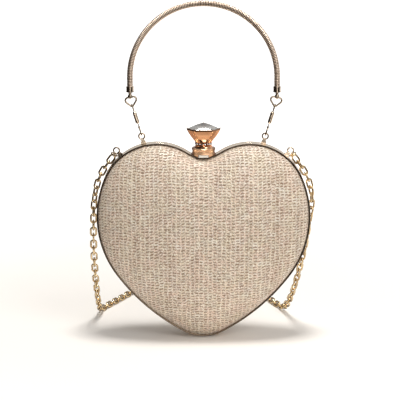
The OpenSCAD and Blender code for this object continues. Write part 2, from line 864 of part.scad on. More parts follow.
// Rings of the cup from its foot: radius in neck or cup radii, height, and how hexagonal it is
neck_shares = [[0.96, 0], [1, 0.015], [1, 0.07], [groove_share, 0.09], [groove_share, 0.21], [1.04, 0.23], [1.04, 0.27]];
cup_shares = [[0.50, 0.30, 0.35], [0.72, 0.56, 0.7], [0.89, 0.78, 0.9], [0.98, 0.92, 1], [1, 0.94, 1], [1, 1, 1]];
seat_shares = [[0.94, 1, 1], [0.94, 0.93, 1], [0.3, 0.6, 0.6]];
ring_count = 4 * corners;
// Radius share of a hexagon with a flat front at an angle, blended with a circle
function hex_share(a, flat) =
    let (in_side = (a % 60) - 30)
    1 + flat * (cos(30) / cos(in_side) - 1);
function hex_ring(r, z, flat) = [
    for (j = [0:ring_count - 1])
        let (a = j * 360 / ring_count, k = r * hex_share(a, flat))
        [k * cos(a), k * sin(a) * (1 - flat * (1 - deep_share)), z]
];

// A stack of rings with a middle point at each end
module ring_stack(rings) {
    n = len(rings);
    m = len(rings[0]);
    function middle(ring) = [0, 0, ring[0].z];
    polyhedron(
        concat([for (ring = rings) each ring], [middle(rings[0]), middle(rings[n - 1])]),
        concat(
            [for (i = [0:n - 2], j = [0:m - 1])
                let (a = i * m + j, b = i * m + (j + 1) % m)
                each [[a, b + m, b], [a, a + m, b + m]]],
            [for (j = [0:m - 1]) [n * m, j, (j + 1) % m]],
            [for (j = [0:m - 1]) [n * m + 1, (n - 1) * m + (j + 1) % m, (n - 1) * m + j]]
        ),
        convexity = 4
    );
}

module jewel_cup() {
    color(ROSE)
    hung()
    translate([0, 0, neck_z + fit_gap])
        difference() {
            ring_stack(concat(
                [for (s = neck_shares) hex_ring(s[0] * neck_r, s[1] * cup_h, 0)],
                [for (s = cup_shares) hex_ring(s[0] * cup_r, s[1] * cup_h, s[2])],
                [for (s = seat_shares) hex_ring(s[0] * cup_r, s[1] * cup_h, s[2])]
            ));
            translate([0, 0, -over])
                cylinder(r = neck_r * 0.5 + fit_gap, h = over + cup_h * 0.22);
        }
}

// Stone: a pavilion in the cup, a girdle and a crown with facets up to a point
girdle_h = crown_h * 0.16;
module jewel_stone() {
    rim_z = neck_z + fit_gap + cup_h + seat_gap / 2;
    r = cup_r * 0.94 - seat_gap;
    m = 2 * corners;
    // Crown rings: radius share, height share, and half a step of turn
    crown_shares = [[0.98, 0.06, 0], [0.72, 0.52, 1], [0.36, 0.84, 0]];
    function ring(k, z, turn) = [
        for (j = [0:m - 1])
            let (a = (j + turn / 2) * 360 / m, d = r * k * hex_share(a, 1 - turn / 2))
            [d * cos(a), d * sin(a) * deep_share, z]
    ];
    rings = concat(
        [ring(0.28, rim_z - cup_h * 0.36, 0)],
        [ring(1, rim_z - girdle_h - seat_gap, 0), ring(1, rim_z, 0)],
        [for (s = crown_shares) ring(s[0], rim_z + s[1] * crown_h, s[2])]
    );
    n = len(rings);
    color("lightcyan", 0.8)
    hung()
    polyhedron(
        concat([for (q = rings) each q], [[0, 0, rim_z - cup_h * 0.36], [0, 0, rim_z + crown_h]]),
        concat(
            [for (i = [0:n - 2], j = [0:m - 1])
                let (a = i * m + j, b = i * m + (j + 1) % m)
                each i == 4 ? [[a, a + m, b], [b, a + m, b + m]] : [[a, b + m, b], [a, a + m, b + m]]],
            [for (j = [0:m - 1]) [n * m, j, (j + 1) % m]],
            [for (j = [0:m - 1]) [n * m + 1, (n - 1) * m + (j + 1) % m, (n - 1) * m + j]]
        ),
        convexity = 4
    );
}

// Claws that hold the stone at every corner of the cup
claw_r = seat_gap * 1.5;
claw_share = 0.965;
module jewel_claws() {
    color(ROSE)
    hung()
    translate([0, 0, neck_z + fit_gap + cup_h])
        for (i = [0:corners - 1])
            translate([cup_r * claw_share * cos(60 * i), cup_r * claw_share * deep_share * sin(60 * i), fit_gap])
                cylinder(r1 = claw_r, r2 = claw_r * 0.6, h = crown_h * 0.22, $fn = 24);
}

// Beads in the groove of the neck
bead_ring_r = neck_r * groove_share + bead_r + fit_gap;
bead_count = floor(2 * PI * bead_ring_r / (2 * bead_r + seat_gap));
module neck_beads() {
    color("dimgray")
    hung()
    translate([0, 0, neck_z + fit_gap + 0.15 * cup_h])
        for (i = [0:bead_count - 1])
            rotate([0, 0, i * 360 / bead_count])
                translate([bead_ring_r, 0, 0])
                    sphere(r = bead_r, $fn = 24);
}

// Handle: a ribbed tube over a core, in an arch with straight legs
arch_len = PI * arch_r + 2 * leg_len;
rib_count = floor(arch_len / rib_pitch);
tube_sides = 8;
function arch_frame(d) =
    d < leg_len ? [[-arch_r, lug_y, arch_z - leg_len + d], [-1, 0, 0]] :
    d > arch_len - leg_len ? [[arch_r, lug_y, arch_z + arch_len - leg_len - d], [1, 0, 0]] :
    let (a = 180 - (d - leg_len) / arch_r * 180 / PI)
    [[arch_r * cos(a), lug_y, arch_z + arch_r * sin(a)], [cos(a), 0, sin(a)]];
function tube_ring(d, r) =
    let (f = arch_frame(d))
    [for (j = [0:tube_sides - 1])
        f[0] + r * (cos(j * 360 / tube_sides) * f[1] + sin(j * 360 / tube_sides) * [0, 1, 0])];

module handle_tube() {
    step = arch_len / rib_count;
    // The ribs' rings, then the bore's rings, which follow the arch more plainly
    ribs = [for (i = [0:rib_count - 1], half = [0, 1]) [(i + half / 2 + 0.25) * step, tube_r - half * rib_depth]];
    outer = concat([[0, tube_r - rib_depth]], ribs, [[arch_len, tube_r - rib_depth]]);
    bore_steps = 44;
    bore = [for (i = [0:bore_steps]) [arch_len * i / bore_steps, tube_bore_r]];
    n = len(outer);
    b = len(bore);
    m = tube_sides;
    points = [for (ring = concat(outer, bore)) each tube_ring(ring[0], ring[1])];
    function walk(first, rings, inwards) = [
        for (i = [0:rings - 2], j = [0:m - 1])
            let (a = first + i * m + j, c = first + i * m + (j + 1) % m)
                each inwards ? [[a, a + m, c + m], [a, c + m, c]] : [[a, c + m, a + m], [a, c, c + m]]
    ];
    function lid(outer_first, bore_first, inwards) = [
        for (j = [0:m - 1])
            let (a = outer_first + j, c = outer_first + (j + 1) % m)
            let (e = bore_first + j, g = bore_first + (j + 1) % m)
                each inwards ? [[a, e, g], [a, g, c]] : [[a, g, e], [a, c, g]]
    ];
    color(CHAMPAGNE)
    hung()
    polyhedron(
        points,
        concat(
            walk(0, n, false), walk(n * m, b, true),
            lid(0, n * m, true), lid((n - 1) * m, (n + b - 1) * m, false)
        ),
        convexity = 8
    );
}

module handle_core() {
    core_r = tube_bore_r * 0.8;
    color("silver")
    hung()
    translate([0, lug_y, arch_z]) {
        rotate([90, 0, 0])
            rotate_extrude(angle = 180, $fn = 96)
                translate([arch_r, 0])
                    circle(r = core_r, $fn = 24);
        mirrored_pair()
            translate([arch_r, 0, -leg_len])
                cylinder(r = core_r, h = leg_len);
    }
}

module ferrule() {
    bore_r = tube_r + fit_gap;
    translate([arch_r, lug_y, ferrule_z])
        difference() {
            union() {
                cylinder(r = bore_r + ferrule_wall, h = ferrule_len);
                for (z = [0, ferrule_len - ferrule_wall])
                    translate([0, 0, z])
                        cylinder(r = bore_r + 1.5 * ferrule_wall, h = ferrule_wall);
            }
            translate([0, 0, tube_end_z - ferrule_z])
                cylinder(r = bore_r, h = ferrule_len + over);
            translate([0, 0, -over])
                cylinder(r = neck_ball_r * 0.6 + fit_gap, h = tube_end_z - ferrule_z + 2 * over);
        }
}

module ferrule_right() {
    color(CHAMPAGNE) hung() ferrule();
}

module ferrule_left() {
    color(CHAMPAGNE) hung() mirror([1, 0, 0]) ferrule();
}

// Heart ring: round wire bent to a small heart, under a ball and its neck
ring_half = ring_lobe_r * 0.9;
ring_notch_deg = 40;
ring_notch_r = ring_half / sin(ring_notch_deg) - ring_lobe_r;
ring_notch_c = [0, (ring_lobe_r + ring_notch_r) * cos(ring_notch_deg)];
ring_point_c = [0, ring_point_r - ring_drop];
ring_side_deg = atan2(-ring_point_c.y, ring_half)
    - acos((ring_point_r - ring_lobe_r) / norm([ring_half, ring_point_c.y]));
ring_steps = [3, 10, 4];
ring_right = concat(
    arc_stations(ring_notch_c, -ring_notch_r, 90, 90 + ring_notch_deg, ring_steps[0]),
    arc_stations([ring_half, 0], ring_lobe_r, 90 + ring_notch_deg, ring_side_deg, ring_steps[1]),
    [station([ring_half, 0], ring_lobe_r, ring_side_deg)],
    arc_stations(ring_point_c, ring_point_r, ring_side_deg, -90, ring_steps[2]),
    [station(ring_point_c, ring_point_r, -90)]
);
ring_path = concat(
    ring_right,
    [for (i = [len(ring_right) - 2:-1:1]) flipped(ring_right[i])]
);
ring_sides = 8;

module heart_ring() {
    wire = [for (j = [0:ring_sides - 1])
        ring_wire_r * [cos(j * 360 / ring_sides), sin(j * 360 / ring_sides)]];
    translate([arch_r, lug_y, ball_z]) {
        rotate([0, ring_lean, 0])
            translate([0, 0, ring_drop - ring_reach])
                polyhedron(
                    [for (s = ring_path, w = wire) rim_point(s, w.x, w.y)],
                    strip_faces(len(ring_path), ring_sides, true),
                    convexity = 6
                );
        rotate([90, 0, 0]) sphere(r = neck_ball_r);
        cylinder(r = neck_ball_r * 0.6, h = tube_end_z - ball_z - fit_gap);
    }
}

module heart_ring_right() {
    color(CHAMPAGNE) hung() heart_ring();
}

module heart_ring_left() {
    color(CHAMPAGNE) hung() mirror([1, 0, 0]) heart_ring();
}

// An oval wire eye in the plane of X and Y, with its inner length along X
module oval_eye(in_len, in_w, wire_r) {
    bend = in_w / 2 + wire_r;
    straight = in_len - in_w;
    for (turn = [0, 180])
        rotate([0, 0, turn]) {
            translate([straight / 2, 0, 0])
                rotate([0, 0, -90])
                    rotate_extrude(angle = 180, $fn = 32)
                        translate([bend, 0])
                            circle(r = wire_r, $fn = 24);
            translate([-straight / 2, bend, 0])
                rotate([0, 90, 0])
                    cylinder(r = wire_r, h = straight, $fn = 24);
        }
}

// Turns a drawing with +Z along the link so that it stands from the lower to the upper pivot
module along_link() {
    translate(low_pivot)
        rotate([0, link_lean, 0])
            children();
}

// The stem is drawn thinner than the eyes' wire
stem_share = 0.84;

module link_wire() {
    eye_mid = eye_len / 2 - eye_w / 2;
    bead_len = 1.5 * eye_w * 0.55;
    along_link() {
        for (z = [eye_mid, link_span - eye_mid])
            translate([0, 0, z])
                rotate([0, 90, 90])
                    rotate([90, 0, 0])
                        oval_eye(eye_len, eye_w, link_wire_r);
        translate([0, 0, eye_reach - link_wire_r / 4])
            cylinder(r = stem_share * link_wire_r, h = link_body + link_wire_r / 2, $fn = 24);
        translate([0, 0, eye_reach])
            cylinder(r = 1.7 * link_wire_r, h = bead_len);
    }
}

module link_sleeve() {
    along_link()
        translate([0, 0, eye_reach + stem_len])
            difference() {
                rotate_extrude()
                    polygon([
                        [0, 0],
                        [sleeve_r * 0.7, 0],
                        [sleeve_r, sleeve_r * 0.4],
                        [sleeve_r, sleeve_len - sleeve_r * 0.4],
                        [sleeve_r * 0.7, sleeve_len],
                        [0, sleeve_len]
                    ]);
                translate([0, 0, -over])
                    cylinder(r = stem_share * link_wire_r + fit_gap, h = sleeve_len + 2 * over, $fn = 24);
            }
}

module link_wire_right() {
    color(CHAMPAGNE) hung() link_wire();
}

module link_wire_left() {
    color(CHAMPAGNE) hung() mirror([1, 0, 0]) link_wire();
}

module link_sleeve_right() {
    color(CHAMPAGNE) hung() link_sleeve();
}

module link_sleeve_left() {
    color(CHAMPAGNE) hung() mirror([1, 0, 0]) link_sleeve();
}

// Shoulder chain. Its route hangs from the left chain lug, lies in folds on the surface
// behind the purse, where the purse hides it, and climbs to the right chain lug.
hang_deg = 240;
lay_z = 2.4;
route_drop_left = [
    [-79.5, 3, 136], [-84.5, 4, 125], [-87.5, 6, 110], [-88.5, 9, 92], [-89, 14, 74], [-89, 21, 56],
    [-88.5, 30, 38], [-88, 41, 22], [-87, 54, 9], [-86, 68, 3]
];
route_lay = [
    [-81, 82, lay_z], [-73, 100, lay_z], [-65, 119, lay_z], [-57, 137, lay_z], [-49, 156, lay_z],
    [-42, 176, lay_z], [-38, 196, lay_z], [-36, 212, lay_z], [-32, 222, lay_z], [-22, 227, lay_z],
    [-12, 222, lay_z], [-8, 212, lay_z], [-8, 190, lay_z], [-8, 165, lay_z], [-8, 140, lay_z],
    [-8, 115, lay_z], [-8, 96, lay_z], [-4, 86, lay_z], [6, 81, lay_z], [16, 86, lay_z],
    [20, 96, lay_z], [20, 115, lay_z], [20, 140, lay_z], [20, 165, lay_z], [20, 190, lay_z],
    [20, 212, lay_z], [24, 222, lay_z], [34, 227, lay_z], [44, 222, lay_z], [48, 212, lay_z],
    [49, 190, lay_z], [50, 168, lay_z], [50, 146, lay_z], [52, 124, lay_z], [56, 107, lay_z],
    [61, 90, lay_z]
];
route_drop_right = [
    [67, 74, 3], [70, 59, 9], [73.5, 44, 22], [76.5, 32, 37], [79.5, 22, 54], [82.5, 15, 72],
    [85, 10, 92], [87, 7, 110], [84.5, 5, 125], [78.5, 4, 137]
];

// Where the chain's end rings hang in the lug rings, and where the chain starts in them
ring_hang = lug_wire_c + end_ring_r - end_ring_wire_r - lug_wire_r - fit_gap;
chain_hang = ring_hang + end_ring_r - end_ring_wire_r - chain_slack;
function hang_point(side, far) =
    [side * (chain_ring_c.x - far * cos(hang_deg)), lug_y, chain_ring_c.z + far * sin(hang_deg)];
route = concat(
    [hang_point(-1, chain_hang)], route_drop_left, route_lay, route_drop_right,
    [hang_point(1, chain_hang)]
);

// A smooth curve through the route's points, then points at equal steps along it
curve_steps = 8;
function curve_at(p0, p1, p2, p3, t) =
    0.5 * ((2 * p1) + (p2 - p0) * t + (2 * p0 - 5 * p1 + 4 * p2 - p3) * t * t
        + (3 * p1 - p0 - 3 * p2 + p3) * t * t * t);
last_point = len(route) - 1;
curve = concat(
    [for (i = [0:last_point - 1], k = [0:curve_steps - 1])
        curve_at(
            i == 0 ? 2 * route[0] - route[1] : route[i - 1], route[i], route[i + 1],
            i + 2 > last_point ? 2 * route[last_point] - route[last_point - 1] : route[i + 2],
            k / curve_steps
        )],
    [route[last_point]]
);
curve_count = len(curve);
reach = [for (i = 0, d = 0; i < curve_count; i = i + 1, d = d + (i < curve_count ? norm(curve[i] - curve[i - 1]) : 0)) d];
chain_len = reach[curve_count - 1];
pitch_wish = chain_in_len - chain_slack;
// An odd number of links, so that both end links lie alike in their end rings
links = 2 * ceil((chain_len / pitch_wish - 1) / 2) + 1;
pitch = chain_len / links;
function place_at(d, lo, hi) =
    hi - lo <= 1 ? curve[lo] + (curve[hi] - curve[lo]) * (d - reach[lo]) / (reach[hi] - reach[lo]) :
    let (mid = floor((lo + hi) / 2))
    reach[mid] <= d ? place_at(d, mid, hi) : place_at(d, lo, mid);
joints = [for (k = [0:links]) place_at(min(k * pitch, chain_len), 0, curve_count - 1)];
echo(chain_len = chain_len, links = links, pitch = pitch);

function lying(z) = z < 3 * lay_z ? 1 : z > 18 * lay_z ? 0 : (18 * lay_z - z) / (15 * lay_z);

// One link between two joints of the chain, lying flat at 45 degrees where the chain lies
module chain_link(k) {
    way = joints[k + 1] - joints[k];
    t = way / norm(way);
    level = cross(t, [0, 0, 1]);
    n = level / norm(level);
    b = cross(t, n);
    mid = (joints[k + 1] + joints[k]) / 2;
    turn = 45 * lying(mid.z) + (k % 2) * 90;
    f = cos(turn) * n + sin(turn) * b;
    w = cross(f, t);
    multmatrix([
        [t.x, w.x, f.x, mid.x],
        [t.y, w.y, f.y, mid.y],
        [t.z, w.z, f.z, mid.z],
        [0, 0, 0, 1]
    ])
        oval_eye(chain_in_len, chain_in_w, chain_wire_d / 2);
}

chain_nodes = 8;
module chain_run(index) {
    first = floor(index * links / chain_nodes);
    last = floor((index + 1) * links / chain_nodes) - 1;
    color(GOLD)
    hung()
    for (k = [first:last])
        chain_link(k);
}

// An end ring hangs in its lug ring, edge on to it
module chain_end() {
    c = hang_point(1, ring_hang);
    color(GOLD)
    hung()
    translate(c)
        rotate([0, -90 + hang_deg - 180 + 90, 0])
            rotate([0, 0, 90])
                wire_ring(end_ring_r, end_ring_wire_r);
}

module chain_end_right() {
    chain_end();
}

module chain_end_left() {
    mirror([1, 0, 0]) chain_end();
}

module chain_1() {
    chain_run(0);
}

module chain_2() {
    chain_run(1);
}

module chain_3() {
    chain_run(2);
}

module chain_4() {
    chain_run(3);
}

module chain_5() {
    chain_run(4);
}

module chain_6() {
    chain_run(5);
}

module chain_7() {
    chain_run(6);
}

module chain_8() {
    chain_run(7);
}

frame_back();
pan_back();
cover_back();
lining_back();
handle_lug_left();
handle_lug_right();
chain_lug_left();
chain_lug_right();
clasp_base();
clasp_screws();
clasp_pin();
clasp_spring();
hinge_leaf_back();
hinge_pin();
hinge_rivets_back();
gusset_left();
gusset_right();
frame_front();
pan_front();
cover_front();
lining_front();
striker_plate();
catch_spring();
striker_rivets();
hinge_leaf_front();
hinge_rivets_front();
lever_stem();
jewel_cup();
jewel_stone();
jewel_claws();
neck_beads();
handle_tube();
handle_core();
ferrule_left();
ferrule_right();
heart_ring_left();
heart_ring_right();
link_wire_left();
link_sleeve_left();
link_wire_right();
link_sleeve_right();
chain_end_left();
chain_end_right();
chain_1();
chain_2();
chain_3();
chain_4();
chain_5();
chain_6();
chain_7();
chain_8();
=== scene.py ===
"""Heart shaped evening purse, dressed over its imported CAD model.

Two woven cloth domes sit in champagne metal frames, with a jewelled clasp in the notch of the
heart, a ribbed arch handle on two wire links, and a shoulder chain that lies behind the purse.
"""
import logging
import math
from contextlib import contextmanager
from dataclasses import dataclass
from enum import Enum
from functools import cache
from typing import Callable, Iterator, Sequence

import bmesh
import bpy
from mathutils import Matrix, Vector


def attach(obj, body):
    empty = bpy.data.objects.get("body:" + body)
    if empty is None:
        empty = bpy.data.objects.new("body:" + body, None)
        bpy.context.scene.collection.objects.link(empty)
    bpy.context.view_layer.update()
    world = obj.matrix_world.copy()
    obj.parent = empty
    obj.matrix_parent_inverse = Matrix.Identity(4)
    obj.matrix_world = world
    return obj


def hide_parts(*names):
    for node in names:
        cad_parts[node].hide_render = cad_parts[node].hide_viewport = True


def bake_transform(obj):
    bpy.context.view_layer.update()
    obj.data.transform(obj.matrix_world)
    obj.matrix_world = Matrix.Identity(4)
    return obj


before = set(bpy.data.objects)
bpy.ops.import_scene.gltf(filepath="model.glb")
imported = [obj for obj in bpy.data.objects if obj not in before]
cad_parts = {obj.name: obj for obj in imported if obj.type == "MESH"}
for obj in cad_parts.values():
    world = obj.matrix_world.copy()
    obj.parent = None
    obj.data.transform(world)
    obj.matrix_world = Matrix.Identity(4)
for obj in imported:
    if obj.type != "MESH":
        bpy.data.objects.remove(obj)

LOG = logging.getLogger("purse")
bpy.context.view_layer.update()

Pair = tuple[float, float]
Place = tuple[float, float, float]
Colour = tuple[float, float, float]

MM = 0.001
# Points closer than this, in metres, are one point
MERGE = 1e-6
# The purse's drawing is in millimetres: X to the right of the centre line, Y behind the parting
# plane, Z over the tip of the heart. These are the depth of the lugs' middle plane and the height
# of the handle's crown in it, where the shared frame has its origin.
LUG_Y = 1.275
GRIP_Z = 268.003


def at(x: float, y: float, z: float) -> Vector:
    """Turns a place of the purse's drawing, in millimetres, into metres of the shared frame."""
    return Vector((x * MM, (y - LUG_Y) * MM, (z - GRIP_Z) * MM))


def polar(radius: float, degrees: float) -> Vector:
    """Gives a vector of the outline's plane from its length and direction."""
    return Vector((radius * math.cos(math.radians(degrees)), radius * math.sin(math.radians(degrees))))


class Body(str, Enum):
    """Bodies of the purse that new pieces ride on."""

    HANDLE = "handle"
    BACK = "back_half"
    FRONT = "front_half"
    GEM = "gem"


class Side(Enum):
    """Left and right of the purse, as a sign along X."""

    LEFT = -1
    RIGHT = 1

    @property
    def word(self) -> str:
        """Gives the side as it stands in the names of pieces."""
        return self.name.lower()


class Face(Enum):
    """Front and back half of the purse, as a sign along Y."""

    FRONT = -1
    BACK = 1

    @property
    def word(self) -> str:
        """Gives the face as it stands in the names of pieces."""
        return self.name.lower()

    @property
    def body(self) -> Body:
        """Gives the body that carries this half."""
        return Body.FRONT if self is Face.FRONT else Body.BACK


class Bench:
    """The modelling bench: small steps made with Blender's own operators."""

    @staticmethod
    def clear() -> None:
        """Puts every piece down, so that the next operator meets nothing else."""
        if bpy.context.object and bpy.context.object.mode != "OBJECT":
            bpy.ops.object.mode_set(mode="OBJECT")
        bpy.ops.object.select_all(action="DESELECT")

    @staticmethod
    def take(*pieces: bpy.types.Object) -> None:
        """Selects pieces and makes the first one the active one.

        Args:
            pieces: The pieces, at least one.
        """
        Bench.clear()
        for piece in pieces:
            piece.select_set(True)
        bpy.context.view_layer.objects.active = pieces[0]

    @staticmethod
    @contextmanager
    def editing() -> Iterator[None]:
        """Opens the active piece in edit mode, all of it selected, and closes it afterwards.

        Returns:
            The context in which the piece is open.
        """
        bpy.ops.object.mode_set(mode="EDIT")
        bpy.ops.mesh.select_all(action="SELECT")
        yield
        bpy.ops.object.mode_set(mode="OBJECT")

    @staticmethod
    def name(name: str) -> bpy.types.Object:
        """Names the piece that was just added, and its mesh.

        Args:
            name: The name.

        Returns:
            The piece.
        """
        piece = bpy.context.object
        piece.name = piece.data.name = name
        return piece

    @staticmethod
    def pick(piece: bpy.types.Object, test: Callable[[Vector], bool]) -> None:
        """Selects, in edit mode, the vertices whose place passes a test.

        Args:
            piece: The piece that is open in edit mode.
            test: Tells whether a vertex at a place is selected.
        """
        bpy.ops.mesh.select_mode(type="VERT")
        bpy.ops.mesh.select_all(action="DESELECT")
        shape = bmesh.from_edit_mesh(piece.data)
        for vertex in shape.verts:
            vertex.select = test(vertex.co)
        shape.select_flush(True)
        bmesh.update_edit_mesh(piece.data)

    @staticmethod
    def draw_up(rings: Sequence[Pair]) -> None:
        """Draws the selected ring up along Z, in edit mode, through further rings.

        Args:
            rings: Radius and height of the selected ring and of each further one, in millimetres.
        """
        for (radius, height), (wide, high) in zip(rings, rings[1:]):
            bpy.ops.mesh.extrude_region_move(TRANSFORM_OT_translate={"value": (0, 0, (high - height) * MM)})
            share = wide / radius
            bpy.ops.transform.resize(value=(share, share, 1), center_override=(0, 0, high * MM))

    @staticmethod
    def bend_all(piece: bpy.types.Object, move: Callable[[Vector], Vector]) -> None:
        """Moves every vertex of a finished piece.

        Args:
            piece: The piece.
            move: Gives the new place of a vertex at a place.
        """
        for vertex in piece.data.vertices:
            vertex.co = move(vertex.co.copy())
        piece.data.update()

    @staticmethod
    def lay_flat(piece: bpy.types.Object, flat: Sequence[Pair]) -> None:
        """Maps a cloth to the flat piece that it was cut from.

        Args:
            piece: The cloth.
            flat: Place of each vertex on the flat piece, in metres.
        """
        layer = piece.data.uv_layers.active
        layer.name = "UVMap"
        for loop in piece.data.loops:
            layer.data[loop.index].uv = flat[loop.vertex_index]

    @staticmethod
    def modify(piece: bpy.types.Object, kind: str, **settings: object) -> None:
        """Adds a modifier and applies it.

        Args:
            piece: The piece.
            kind: Kind of the modifier.
            settings: The modifier's settings by name.
        """
        Bench.take(piece)
        modifier = piece.modifiers.new(kind.title(), kind)
        for key, value in settings.items():
            setattr(modifier, key, value)
        bpy.ops.object.modifier_apply(modifier=modifier.name)

    @staticmethod
    def heal(piece: bpy.types.Object, gap: float = MERGE) -> None:
        """Merges doubles and turns all faces outwards.

        Args:
            piece: The piece.
            gap: Distance up to which points are merged, in metres.
        """
        Bench.take(piece)
        with Bench.editing():
            bpy.ops.mesh.remove_doubles(threshold=gap)
            bpy.ops.mesh.normals_make_consistent(inside=False)

    @staticmethod
    def smooth(piece: bpy.types.Object, degrees: float) -> None:
        """Shades a piece smooth, apart from edges sharper than an angle."""
        Bench.take(piece)
        bpy.ops.object.shade_smooth_by_angle(angle=math.radians(degrees), keep_sharp_edges=True)

    @staticmethod
    def settle(piece: bpy.types.Object) -> None:
        """Applies the piece's place and turn to its mesh."""
        Bench.take(piece)
        bpy.ops.object.transform_apply(location=True, rotation=True, scale=True)

    @staticmethod
    def move(piece: bpy.types.Object, matrix: Matrix) -> None:
        """Moves a finished piece's mesh by a matrix."""
        piece.matrix_world = matrix
        Bench.settle(piece)

    @staticmethod
    def copy(piece: bpy.types.Object, name: str, matrix: Matrix) -> bpy.types.Object:
        """Copies a piece with a mesh of its own, and moves the copy by a matrix.

        Args:
            piece: The finished piece.
            name: Name of the copy.
            matrix: Move of the copy.

        Returns:
            The copy, with its place in its mesh.
        """
        twin = piece.copy()
        twin.data = piece.data.copy()
        twin.name = twin.data.name = name
        bpy.context.scene.collection.objects.link(twin)
        Bench.move(twin, matrix)
        if matrix.determinant() < 0:
            Bench.heal(twin, 0)
        return twin

    @staticmethod
    def join(pieces: Sequence[bpy.types.Object], name: str) -> bpy.types.Object:
        """Joins pieces to one.

        Args:
            pieces: The pieces.
            name: Name of the whole.

        Returns:
            The whole.
        """
        Bench.take(*pieces)
        bpy.ops.object.join()
        return Bench.name(name)

    @staticmethod
    def turned(name: str, rings: Sequence[Pair], sides: int) -> bpy.types.Object:
        """Turns a solid round Z: a disc whose rim is drawn up and sized ring by ring.

        Args:
            name: Name of the piece.
            rings: Radius and height of each ring, in millimetres, from the foot up.
            sides: Number of points round the piece.

        Returns:
            The closed solid, about the drawing's own axis.
        """
        Bench.clear()
        radius, height = rings[0]
        bpy.ops.mesh.primitive_circle_add(
            vertices=sides, radius=radius * MM, fill_type="NGON", location=(0, 0, height * MM)
        )
        piece = Bench.name(name)
        Bench.settle(piece)
        with Bench.editing():
            Bench.draw_up(rings)
        Bench.heal(piece)
        return piece

    @staticmethod
    def swept(name: str, section: Sequence[Pair], arcs: Sequence["Arc"], steps: Sequence[int]) -> bpy.types.Object:
        """Spins a section along arcs that run on from each other, and mirrors the sweep.

        Args:
            name: Name of the piece.
            section: Outward and backward distance of each corner, in millimetres.
            arcs: The arcs of the right half, by the direction of their outward normal.
            steps: Number of steps in each arc.

        Returns:
            The closed sweep in the purse's drawing.
        """
        Bench.clear()
        bpy.ops.mesh.primitive_circle_add(vertices=len(section), radius=MM, fill_type="NOTHING")
        piece = Bench.name(name)
        with Bench.editing():
            shape, first = bmesh.from_edit_mesh(piece.data), arcs[0]
            for vertex, (out, back) in zip(shape.verts, section):
                vertex.co = first.place(first.start, out, back)
            bmesh.update_edit_mesh(piece.data)
            for arc, count in zip(arcs, steps):
                if arc.radius == 0:
                    across, up = arc.shift
                    bpy.ops.mesh.extrude_region_move(TRANSFORM_OT_translate={"value": (across * MM, 0, up * MM)})
                    continue
                bpy.ops.mesh.spin(
                    steps=count, angle=math.radians(arc.end - arc.start),
                    center=at(arc.centre[0], 0, arc.centre[1]), axis=(0, 1, 0),
                )
        Bench.modify(piece, "MIRROR", use_axis=(True, False, False), merge_threshold=10 * MERGE)
        Bench.heal(piece)
        return piece


@dataclass(frozen=True)
class Arc:
    """One arc of an outline, swept by the direction of its outward normal.

    A hollow arc has a negative radius. An arc with no radius is a straight run by its shift.
    """

    centre: Pair
    radius: float
    start: float
    end: float
    shift: Pair = (0.0, 0.0)

    def station(self, degrees: float) -> tuple[Vector, Vector]:
        """Gives the place and the outward normal at a direction, in the outline's plane."""
        return Vector(self.centre) + polar(self.radius, degrees), polar(1, degrees)

    def place(self, degrees: float, out: float, back: float) -> Vector:
        """Gives a place off the arc.

        Args:
            degrees: Direction of the outward normal.
            out: Distance outwards from the arc.
            back: Distance behind the parting plane.

        Returns:
            The place in metres.
        """
        spot, normal = self.station(degrees)
        spot = spot + normal * out
        return at(spot.x, back, spot.y)


@dataclass(frozen=True)
class HeartOutline:
    """The purse's outline: notch, lobe, side, flank and tip, each an arc."""

    lobe_x: float = 37
    lobe_r: float = 45
    side_r: float = 80
    flank_r: float = 160
    notch_deg: float = 33
    lobe_end: float = 25
    side_end: float = -36
    flank_end: float = -62

    @property
    def arcs(self) -> list[Arc]:
        """Gives the arcs of the right half.

        Returns:
            The arcs, from the notch down to the tip.
        """
        side = polar(self.lobe_r - self.side_r, self.lobe_end)
        flank = side + polar(self.side_r - self.flank_r, self.side_end)
        tip_r = self.flank_r + (self.lobe_x + flank.x) / math.cos(math.radians(self.flank_end))
        tip = flank + polar(self.flank_r - tip_r, self.flank_end)
        lobe = Vector((self.lobe_x, tip_r - tip.y))
        notch_r = self.lobe_x / math.sin(math.radians(self.notch_deg)) - self.lobe_r
        notch = (0.0, lobe.y + (self.lobe_r + notch_r) * math.cos(math.radians(self.notch_deg)))
        return [
            Arc(notch, -notch_r, 90, 90 + self.notch_deg),
            Arc(tuple(lobe), self.lobe_r, 90 + self.notch_deg, self.lobe_end),
            Arc(tuple(lobe + side), self.side_r, self.lobe_end, self.side_end),
            Arc(tuple(lobe + flank), self.flank_r, self.side_end, self.flank_end),
            Arc((0.0, tip_r), tip_r, self.flank_end, -90),
        ]

    @property
    def top(self) -> float:
        """Gives the height of the lobes."""
        lobe = self.arcs[1]
        return lobe.centre[1] + lobe.radius

    def half(self, steps: Sequence[int]) -> list[tuple[Vector, Vector]]:
        """Steps down the right half.

        Args:
            steps: Number of steps in each arc.

        Returns:
            Place and outward normal at each step.
        """
        found = []
        for arc, count in zip(self.arcs, steps):
            for i in range(count):
                found.append(arc.station(arc.start + (arc.end - arc.start) * i / count))
        found.append(self.arcs[-1].station(-90))
        return found

    def loop(self, steps: Sequence[int]) -> list[tuple[Vector, Vector]]:
        """Steps round the whole outline.

        Args:
            steps: Number of steps in each arc of one half.

        Returns:
            Place and outward normal at each step, clockwise from the notch.
        """
        right = self.half(steps)
        left = [(Vector((-p.x, p.y)), Vector((-n.x, n.y))) for p, n in right[-2:0:-1]]
        return right + left


